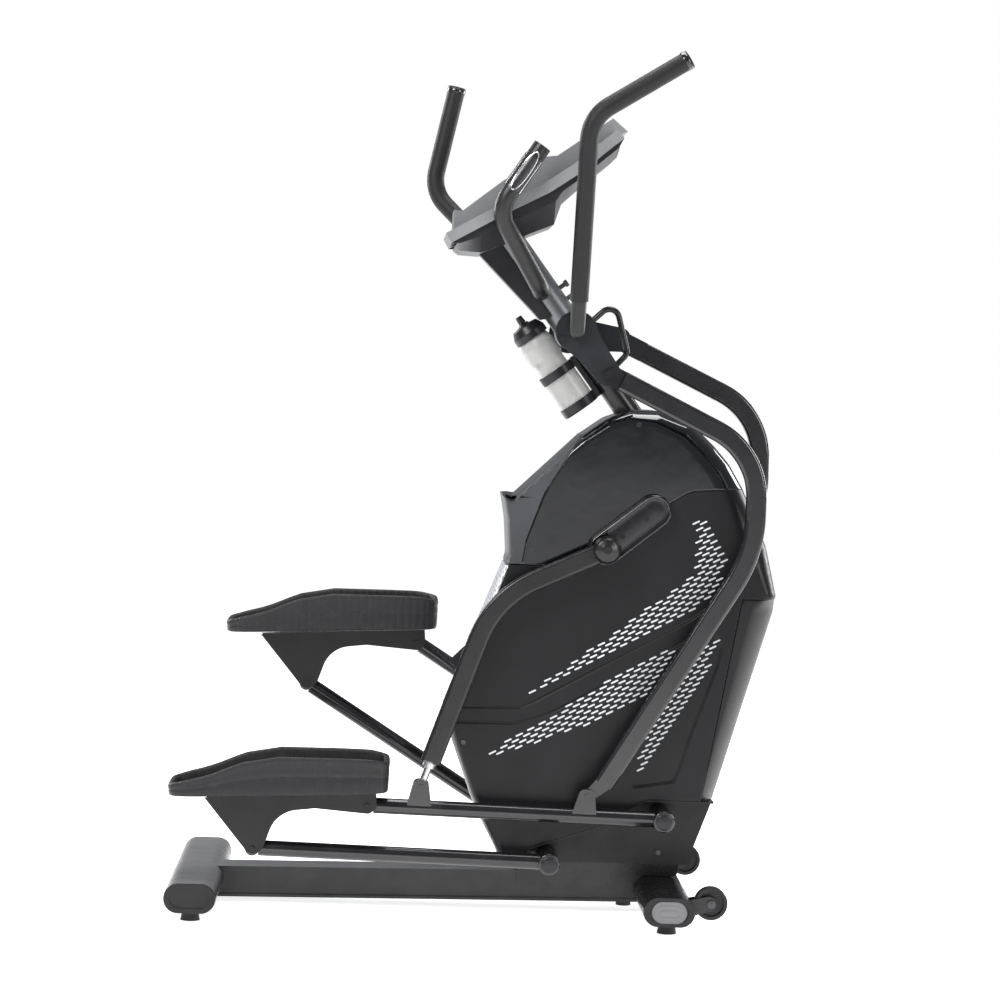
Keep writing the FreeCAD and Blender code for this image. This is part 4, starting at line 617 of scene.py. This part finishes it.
# outlines of the three slotted bands, from the crank axle
BANDS = [np.array(line) * MM for line in (
    [(-242, -378), (75, -201), (115, -167), (150, -103), (127, -62), (106, -28), (93, -10),
     (81, -3), (84, -20), (88, -114), (60, -140), (-38, -216), (-136, -292), (-229, -363)],
    [(-318, -498), (-225, -468), (-131, -431), (-78, -412), (-13, -374), (17, -335), (60, -277),
     (40, -268), (-10, -296), (-96, -348), (-164, -394), (-309, -484)],
    [(-16, -540), (-4, -443), (31, -379), (73, -314), (97, -275), (127, -246), (141, -258),
     (117, -306), (87, -358), (58, -416), (22, -480), (-8, -535)])]


def slots():
    """Light slots in three swept bands: a staggered lattice of round-ended bars, each leaning
    27 degrees, kept where its middle falls in a band."""
    column, row = np.meshgrid(np.arange(-60, 60), np.arange(-60, 60))
    pitch, stagger, rise, origin = 14.7, 7.45, 12.3, np.array([39, -167])
    spots = np.stack([column * pitch + row * stagger, row * rise], -1).reshape(-1, 2) * MM
    spots = spots + origin * MM
    keep = np.zeros(len(spots), bool)
    for band in BANDS:
        keep |= inside(spots, band)
    spots = spots[keep]
    lean, reach, round_ = math.radians(27), 0.0062, 0.0017
    sunk, thick = 0.0004, 0.0007
    turn = np.linspace(0, 2 * np.pi, 12, endpoint=False) + np.pi / 12
    bar = np.stack([np.cos(turn) * round_ + np.sign(np.cos(turn)) * reach,
                    np.sin(turn) * round_], -1)
    bar = bar @ np.array([[math.cos(lean), math.sin(lean)], [-math.sin(lean), math.cos(lean)]])
    white = moulded("slot_white", (0.5, 0.505, 0.51), 0.4, shade=1.2)
    for name, side in (("right", -1), ("left", 1)):
        flat = spots[:, None] + bar[None] + CRANK
        count, corners = flat.shape[:2]
        base = np.stack([flat[..., 0], np.full(flat.shape[:2], side * (HALF - sunk)),
                         flat[..., 1]], -1)
        verts = np.concatenate([base, base + (0, side * thick, 0)], 1).reshape(-1, 3)
        start = (np.arange(count) * corners * 2)[:, None, None]
        k = np.arange(corners)
        walls = np.stack([k, (k + 1) % corners, (k + 1) % corners + corners, k + corners], -1)
        walls = (start + walls[None]).reshape(-1, 4)
        lids = start[:, 0] + k[None] + corners
        floors = start[:, 0] + k[None, ::-1]
        if side > 0:
            lids, walls, floors = lids[:, ::-1], walls[:, ::-1], floors[:, ::-1]
        piece("light_slots_" + name, (verts, walls.tolist() + lids.tolist() + floors.tolist()),
              "frame", white)


# ---------------------------------------------------------------- crank

def track_rings(profile, start, turn, length, middle_y, side, sides=64):
    """Rings of a bar with round ends: each profile point (radius, height) is offset that far from
    the line between the two end centres and stands that high above a side plane."""
    angle = np.linspace(0, 2 * np.pi, sides, endpoint=False)
    ends = (np.cos(angle) > 0) * length
    along = np.array([math.cos(turn), math.sin(turn)])
    across = np.array([-along[1], along[0]])
    radius, height = np.asarray(profile, float).T
    flat = (start + (ends[None] + radius[:, None] * np.cos(angle))[..., None] * along
            + (radius[:, None] * np.sin(angle))[..., None] * across)
    depth = np.broadcast_to((middle_y + side * height)[:, None], flat.shape[:2])
    return np.stack([flat[..., 0], depth, flat[..., 1]], -1)


def crank_covers():
    """Black covers over the crank arms, with a rolled rim, a sunk face and two screws."""
    gloss = lacquered("crank_gloss", (0.005, 0.005, 0.0058), 0.18, coat_weight=0.4,
                      coat_roughness=0.12)
    dark = moulded("screw_hole", (0.004, 0.004, 0.004), 0.7)
    throw, angle = 0.12068, math.radians(39)
    gap, screw_face = 0.003, 0.0233
    forms, screws = [], []
    for side, turn in ((-1, angle + math.pi), (1, angle)):
        base = side * (HALF + gap)
        profile = [(0.02, 0.0), (0.0335, 0.0), (0.034, 0.001), (0.034, 0.0165), (0.0334, 0.0195),
                   (0.0318, 0.0218), (0.0296, 0.023), (0.0274, 0.0224), (0.0262, 0.0208),
                   (0.0252, 0.0198), (0.0236, 0.0195), (0.016, 0.0202), (0.008, 0.0206),
                   (0.001, 0.0207)]
        forms.append(loft(track_rings(profile, CRANK, turn, throw, base, side)))
        for share in (0.18, 0.66):
            spot = CRANK + share * throw * np.array([math.cos(turn), math.sin(turn)])
            place = (spot[0], side * (HALF + screw_face), spot[1])
            screws.append(socket_screw(place, (0, side, 0), 0.0052, 0.0012))
    piece("crank_covers_shell", together(forms), "crank", gloss, ["crank_covers"])
    piece("crank_cover_screws", together(screws), "crank", dark)


# ---------------------------------------------------------------- links, rods and handles

def domed_cap(place, direction, radius, height):
    """Pressed cap: short skirt, then a quarter-round shoulder to a shallow dome."""
    turn = np.linspace(0, np.pi / 2, 7)
    skirt = [(radius * 0.98, -0.001), (radius, 0)]
    dome = [(radius * (0.42 + 0.58 * math.cos(t)), height * 0.35 + height * 0.55 * math.sin(t))
            for t in turn]
    return revolved(skirt + dome + [(radius * 0.1, height)], place, direction, 40)


def smooth_through(x, stations):
    """Height at x: straight runs between the stations, averaged over a sliding reach."""
    knots, heights = np.asarray(stations, float).T
    reach = np.linspace(-26, 26, 13)
    return np.mean([np.interp(x + shift, knots, heights) for shift in reach], axis=0)


# the tray's own hinge: to its toe, down from its rim, and off the middle
TRAY_TOE, TRAY_TOP, TRAY_Y = 0.041, 0.1, 0.15
# from the hinge: x and the height of the rim, in millimetres
TRAY_RIM = [(-388, 36), (-372, 43), (-345, 50), (-311, 58), (-275, 74), (-240, 89), (-205, 98),
            (-160, 101), (-60, 100.5), (10, 100), (28, 97), (42, 90)]
# inset from the outer wall and height as a share from the underside (0) to the rim (1), with a
# lift in millimetres
TRAY_WALL = [(30, 0.0, 0.6), (8, 0.0, 0.2), (3.5, 0.0, 1.2), (1.4, 0.0, 3.6), (0.8, 0.0, 7),
             (0.2, 0.5, -3), (0.9, 0.5, -1.6), (0.9, 0.5, 0), (0.0, 0.5, 1.6), (0.0, 0.62, 0),
             (0.3, 1.0, -12), (-0.3, 1.0, -9.5), (-0.7, 1.0, -6), (0.0, 1.0, -2.6),
             (1.8, 1.0, -0.7), (4.6, 1.0, 0.0), (7.6, 1.0, -0.6), (9.6, 1.0, -2.6),
             (10.6, 1.0, -6)]


def tray(hinge, side):
    """Foot tray.  Plan rings are superellipses; each ring has its own inset and stands at a share
    of the way from the underside to the rim, whose height follows the length of the tray; the
    inside goes down to a floor with cross ribs and then closes on its middle line."""
    turn = np.linspace(0, 2 * np.pi, 144, endpoint=False)
    cos, sin = np.cos(turn), np.sin(turn)
    power = np.where(cos > 0, 0.2, 0.36)
    unit = np.sign(cos) * np.abs(cos) ** power, np.sign(sin) * np.abs(sin) ** 0.26
    middle, half_long, half_wide = -173.0, 214.0, 85.0
    floor_lift, lip_drop, rib_height, rib_pitch = 8.5, 6, 1.4, 22
    rings = []

    def ring(inset):
        """Plan of the tray, drawn in by an inset."""
        return middle + unit[0] * (half_long - inset), unit[1] * (half_wide - inset)

    def under(x):
        """Height of the underside, which falls evenly towards the tail."""
        return 14 + (x + 386) * 18 / 405

    for inset, share, lift in TRAY_WALL:
        x, y = ring(inset)
        rim = smooth_through(x, TRAY_RIM)
        low = under(x)
        rings.append((x, y, low + (rim - low) * share + lift))
    for inset, drop in ((11.6, 0.5), (12.4, 0.12), (14, 0.03), (17, 0.0)):
        x, y = ring(inset)
        deep = under(x) + floor_lift
        rings.append((x, y, deep + (smooth_through(x, TRAY_RIM) - lip_drop - deep) * drop))
    for share in np.linspace(0.82, 0.02, 12):
        x = middle + unit[0] * (half_long - 24)
        y = unit[1] * (half_wide - 22) * share
        wave = np.clip(np.cos(x * 2 * np.pi / rib_pitch) * 3, 0, 1)
        rib = rib_height * wave * (0.1 < share < 0.8)
        rings.append((x, y, under(x) + floor_lift + rib))
    grid = np.array([np.stack(r, -1) for r in rings]) * MM
    return loft(grid + (hinge[0], side * TRAY_Y, hinge[2]))


def trays():
    """Both foot trays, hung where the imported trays' toes and rims are."""
    finish = tread("tray_plastic", (0.014, 0.014, 0.015))
    for name, side in (("right", -1), ("left", 1)):
        toe_and_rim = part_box(name + "_pedal_tray")[1]
        hinge = (toe_and_rim[0] - TRAY_TOE, 0, toe_and_rim[2] - TRAY_TOP)
        piece(name + "_tray_shell", tray(hinge, side), name + "_pedal", finish,
              [name + "_pedal_tray"], crease=40)


def end_plates():
    """Grey ribbed insets in the ends of the front stabiliser."""
    forms = []
    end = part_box("stabiliser_end_caps")[1][1]
    centre, reach = np.array([0.38, 0.0475]), 0.013
    profile = [(0.012, -0.001), (0.0205, -0.001), (0.0208, 0.0006), (0.02, 0.0014),
               (0.0175, 0.0016), (0.0165, 0.0009), (0.0135, 0.0009), (0.0125, 0.0015),
               (0.0095, 0.0015), (0.0085, 0.0009), (0.0055, 0.0009), (0.0045, 0.0015),
               (0.001, 0.0015)]
    for side in (-1, 1):
        rings = track_rings(profile, centre - (reach, 0), 0.0, 2 * reach, side * end, side)
        forms.append(loft(rings))
    grey = moulded("plate_grey", (0.12, 0.12, 0.125), 0.38)
    piece("end_plates", together(forms), "frame", grey)


# bend and end of each moving handle: x and z in millimetres
HANDLES = {"right": ((175.3, 1564.0), (356.9, 1679.2)), "left": ((-117.3, 1444.2), (-73.0, 1654.6))}


def handle_ends():
    """Glossy round end caps of the moving handles, each with a shallow dimple ring."""
    gloss = lacquered("end_gloss", (0.008, 0.008, 0.009), 0.14, coat_weight=0.6,
                      coat_roughness=0.06)
    sleeve, sunk = 0.018, 0.004
    cap = [(0.0175, -0.004), (0.0188, -0.0035), (0.0192, -0.002), (0.0192, 0.003),
           (0.0186, 0.0052), (0.0168, 0.0074), (0.0135, 0.009), (0.0095, 0.0098), (0.009, 0.0094),
           (0.0085, 0.0099), (0.004, 0.0104), (0.0004, 0.0105)]
    for name, side in (("right", -1), ("left", 1)):
        knee, tip = (np.array([x, 0, z]) * MM for x, z in HANDLES[name])
        low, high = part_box(name + "_handle_grip")
        y = (high[1] - sleeve) if side > 0 else (low[1] + sleeve)
        along = (tip - knee) / np.linalg.norm(tip - knee)
        place = tip + (0, y, 0) - along * sunk
        piece(name + "_handle_cap", revolved(cap, place, along), name + "_handle", gloss)


def grip_rings():
    """Bright oval rims of the pulse plates: a thin tube along an ellipse that is wrapped round
    the outer side of each fixed grip."""
    hinge, lean = np.array([0.171, 0, 1.157]), math.radians(37)
    up = np.array([-math.sin(lean), 0, math.cos(lean)])
    ahead = np.array([math.cos(lean), 0, math.sin(lean)])
    knee, top = (hinge + up * a + ahead * b for a, b in ((0.282, 0.006), (0.333, 0.148)))
    along = (top - knee) / np.linalg.norm(top - knee)
    square = np.cross(along, (0, 1, 0))
    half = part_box("pulse_sensors")[1][1]
    reach, wrap, wire, inner, sunk, share = 0.043, 0.011, 0.0012, 0.0186, 0.0004, 0.6
    t = np.linspace(0, 2 * np.pi, 72, endpoint=False)[:, None]
    u = np.linspace(0, 2 * np.pi, 10, endpoint=False)[None, :]
    run = (reach + wire * np.cos(u)) * np.cos(t)
    bend = (wrap + wire * np.cos(u)) * np.sin(t) / inner
    height = inner + wire * np.sin(u)
    middle = knee + (top - knee) * share
    forms = []
    for side in (-1, 1):
        axis = middle * (1, 0, 1) + (0, side * (half - inner - sunk), 0)
        place = (axis + run[..., None] * along + (height * np.cos(bend))[..., None]
                 * np.array([0, side, 0]) + (height * np.sin(bend))[..., None] * square)
        forms.append(loft(np.concatenate([place, place[:1]]), False))
    chrome = bare_metal("rim_chrome", (0.75, 0.75, 0.76), 0.12)
    piece("pulse_rims", together(forms), "frame", chrome)


# upper and lower link axles, in millimetres, and how far off the middle their bosses end
LINK_PINS = ((374, 205), (152, 115))
PIN_END = 0.1815


def boss_caps():
    """Shallow black caps over the outer ends of the link pins."""
    finish = moulded("boss_black", (0.01, 0.01, 0.011), 0.3)
    radius, height = 0.0165, 0.006
    forms = []
    for x, z in LINK_PINS:
        for side in (-1, 1):
            place = (x * MM, side * PIN_END, z * MM)
            forms.append(domed_cap(place, (0, side, 0), radius, height))
    piece("boss_caps", together(forms), "frame", finish)


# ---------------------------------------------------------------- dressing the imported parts

def dress(finish, *names):
    """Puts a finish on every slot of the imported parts, which keep their own shapes."""
    for name in names:
        mesh = NODES[name].data
        if not mesh.materials:
            mesh.materials.append(finish)
        for index in range(len(mesh.materials)):
            mesh.materials[index] = finish


def both(*names):
    """The left and right names of paired parts."""
    return [side + name for side in ("left_", "right_") for name in names]


def tread(name, tone):
    """Pedal plastic: moulded grain, with a cross-hatched tread on the faces that look up."""
    f = Finish(name)
    x, y = f.axis("X"), f.axis("Y")
    hatch = ((x + y) * 420).wave().highest(((x - y) * 420).wave())
    pads = f.span(hatch, 0.2, 0.75)
    scuff = f.span(f.noise(48, 5, 0.7), 0.55, 0.8)
    colour = f.mix(tone, tuple(c * 1.9 for c in tone), scuff)
    return f.done(base=colour, rough=f.span(f.noise(30, 3), 0.3, 0.7, 0.42, 0.58),
                  normal=f.bump(pads, 0.0005, f.bump(f.noise(1000, 2), 0.00006)),
                  specular_ior_level=0.3)


def black_with_lit_top(name):
    """Steel section painted black, with a painted highlight: its upward faces turn light grey as if
    lit from above.
    """
    f = Finish(name)
    up = f.node("ShaderNodeSeparateXYZ", (), {0: f.node("ShaderNodeNewGeometry", out="Normal")},
                "Z")
    wear = f.noise(40, 5, 0.7, f.scaled((3, 1, 1)))
    # the black paint of the sides, varied by wear; the grey below is a painted highlight for the
    # upward faces
    shade = f.mix((0.005, 0.005, 0.0055), (0.011, 0.011, 0.012), f.span(wear, 0.5, 0.75))
    light = f.mix((0.2, 0.2, 0.205), (0.15, 0.15, 0.155), f.span(wear, 0.4, 0.7))
    # painted highlight: the colour turns from the black of the sides to light grey as the face
    # turns upwards
    return f.done(base=f.mix(shade, light, f.span(up, 0.25, 0.7)),
                  rough=f.span(f.noise(30, 3), 0.3, 0.7, 0.3, 0.4),
                  metal=f.span(up, 0.25, 0.7) * 0.4, normal=f.bump(f.noise(420, 2, 0.45), 0.00007))


def plated_oval():
    """Dark grip plastic with a bright ring that stands towards the outer side."""
    f = Finish("sensor_plate")
    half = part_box("pulse_sensors")[1][1]
    out = f.axis("Y").size()
    edge = f.span(out, half - 0.0112, half - 0.0108)
    plate = f.span(out, half - 0.0092, half - 0.0088)
    ring = (edge - plate).held()
    dust = f.noise(60, 4)
    return f.done(base=f.mix((0.018, 0.018, 0.019), (0.62, 0.62, 0.63), ring), metal=ring,
                  rough=f.span(dust, 0.3, 0.7, 0.2, 0.34), normal=f.bump(f.noise(500, 2), 0.00004))


def clear_bottle():
    """Milky, slightly clear plastic with fill marks moulded round it."""
    f = Finish("bottle_clear")
    cloud = f.noise(22, 3)
    return f.done(base=f.mix((0.6, 0.6, 0.58), (0.5, 0.5, 0.49), f.span(cloud, 0.3, 0.7)),
                  rough=f.span(cloud, 0.3, 0.7, 0.26, 0.36), normal=f.bump(f.noise(60, 2), 0.0003),
                  transmission_weight=0.45)


def screen():
    """Display behind a dark window."""
    f = Finish("display_dark")
    smear = f.noise(14, 4, 0.7)
    return f.done(base=f.mix((0.01, 0.012, 0.015), (0.02, 0.024, 0.03), smear),
                  rough=f.span(smear, 0.35, 0.7, 0.07, 0.2), normal=f.bump(f.noise(9, 2), 0.0002),
                  coat_weight=0.8, coat_roughness=0.04)


def dressing():
    """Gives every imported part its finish; the mouldings above stand in for a few of them."""
    black = lacquered("frame_black", (0.0055, 0.0055, 0.006), 0.26, flake=0.15)
    mast = lacquered("mast_silver", (0.12, 0.124, 0.132), 0.34, metal=0.65, flake=0.6)
    tube = lacquered("tube_black", (0.005, 0.005, 0.0056), 0.22, coat_weight=0.5,
                     coat_roughness=0.08)
    lever = lacquered("lever_grey", (0.014, 0.0155, 0.019), 0.36, metal=0.4, flake=0.4)
    steel = bare_metal("bright_steel", (0.6, 0.6, 0.6), 0.26)
    arms = bare_metal("arm_steel", (0.3, 0.3, 0.31), 0.36)
    iron = bare_metal("wheel_iron", (0.12, 0.12, 0.125), 0.4)
    pulley = bare_metal("pulley_metal", (0.42, 0.42, 0.43), 0.34)
    belt = rubbery("belt_rubber", (0.01, 0.01, 0.01))
    grip = foam("grip_foam", (0.006, 0.006, 0.0065))
    tray = tread("tray_solid", (0.014, 0.014, 0.015))
    cap = moulded("cap_plastic", (0.006, 0.006, 0.0065), 0.34)
    foot = rubbery("foot_rubber", (0.018, 0.018, 0.018))
    black_soft = moulded("bottle_black", (0.007, 0.007, 0.008), 0.32)
    shell = moulded("console_dark", (0.011, 0.011, 0.013), 0.36)
    silver = moulded("console_silver", (0.17, 0.172, 0.178), 0.32, coat_weight=0.3,
                     coat_roughness=0.15)
    base = moulded("base_matte", (0.0055, 0.0055, 0.006), 0.4)
    for name in NODES:
        dress(black, name)
    dress(base, "base_cover", "shroud_left", "shroud_right")
    dress(black, "front_stabiliser", "frame_upright", "guard_loop", *both("con_rod"))
    # the beam and rear stabiliser carry a painted highlight on their upward faces
    dress(black_with_lit_top("frame_black_lit_top"), "main_beam", "rear_stabiliser")
    dress(cap, "stabiliser_end_caps", *both("transport_wheel"))
    dress(foot, "levelling_feet")
    dress(mast, "console_mast")
    dress(shell, "mast_fairing", "console_lower_shell")
    dress(silver, "console_top_shell")
    dress(screen(), "console_display")
    dress(moulded("key_green", (0.03, 0.32, 0.08), 0.35), "start_key")
    dress(moulded("key_red", (0.45, 0.02, 0.02), 0.35), "stop_key")
    dress(lacquered("bar_black", (0.005, 0.005, 0.0055), 0.38), "pulse_handlebar",
          *both("handle_tube"))
    dress(tube, *both("arm_rod", "upper_link", "lower_link"))
    dress(lever, *both("handle_lever"))
    dress(grip, *both("handle_grip"))
    dress(tray, *both("pedal_tray"))
    dress(cap, *both("pedal_bracket"))
    dress(bare_metal("dark_screw", (0.07, 0.07, 0.075), 0.3), "bolts_and_screws")
    dress(steel, "fixed_axles", *both("rod_end"))
    dress(arms, "crank_arms", "crank_axle", "crank_bearings")
    dress(iron, "flywheel", "brake_magnets")
    dress(pulley, "drive_pulley")
    dress(belt, "drive_belt")
    dress(plated_oval(), "pulse_sensors")
    dress(clear_bottle(), "bottle")
    dress(black_soft, "bottle_cap", "bottle_nozzle", "bottle_cage")


camera()
studio()
floor()
dressing()
shroud()
crank_covers()
trays()
end_plates()
handle_ends()
boss_caps()
grip_rings()
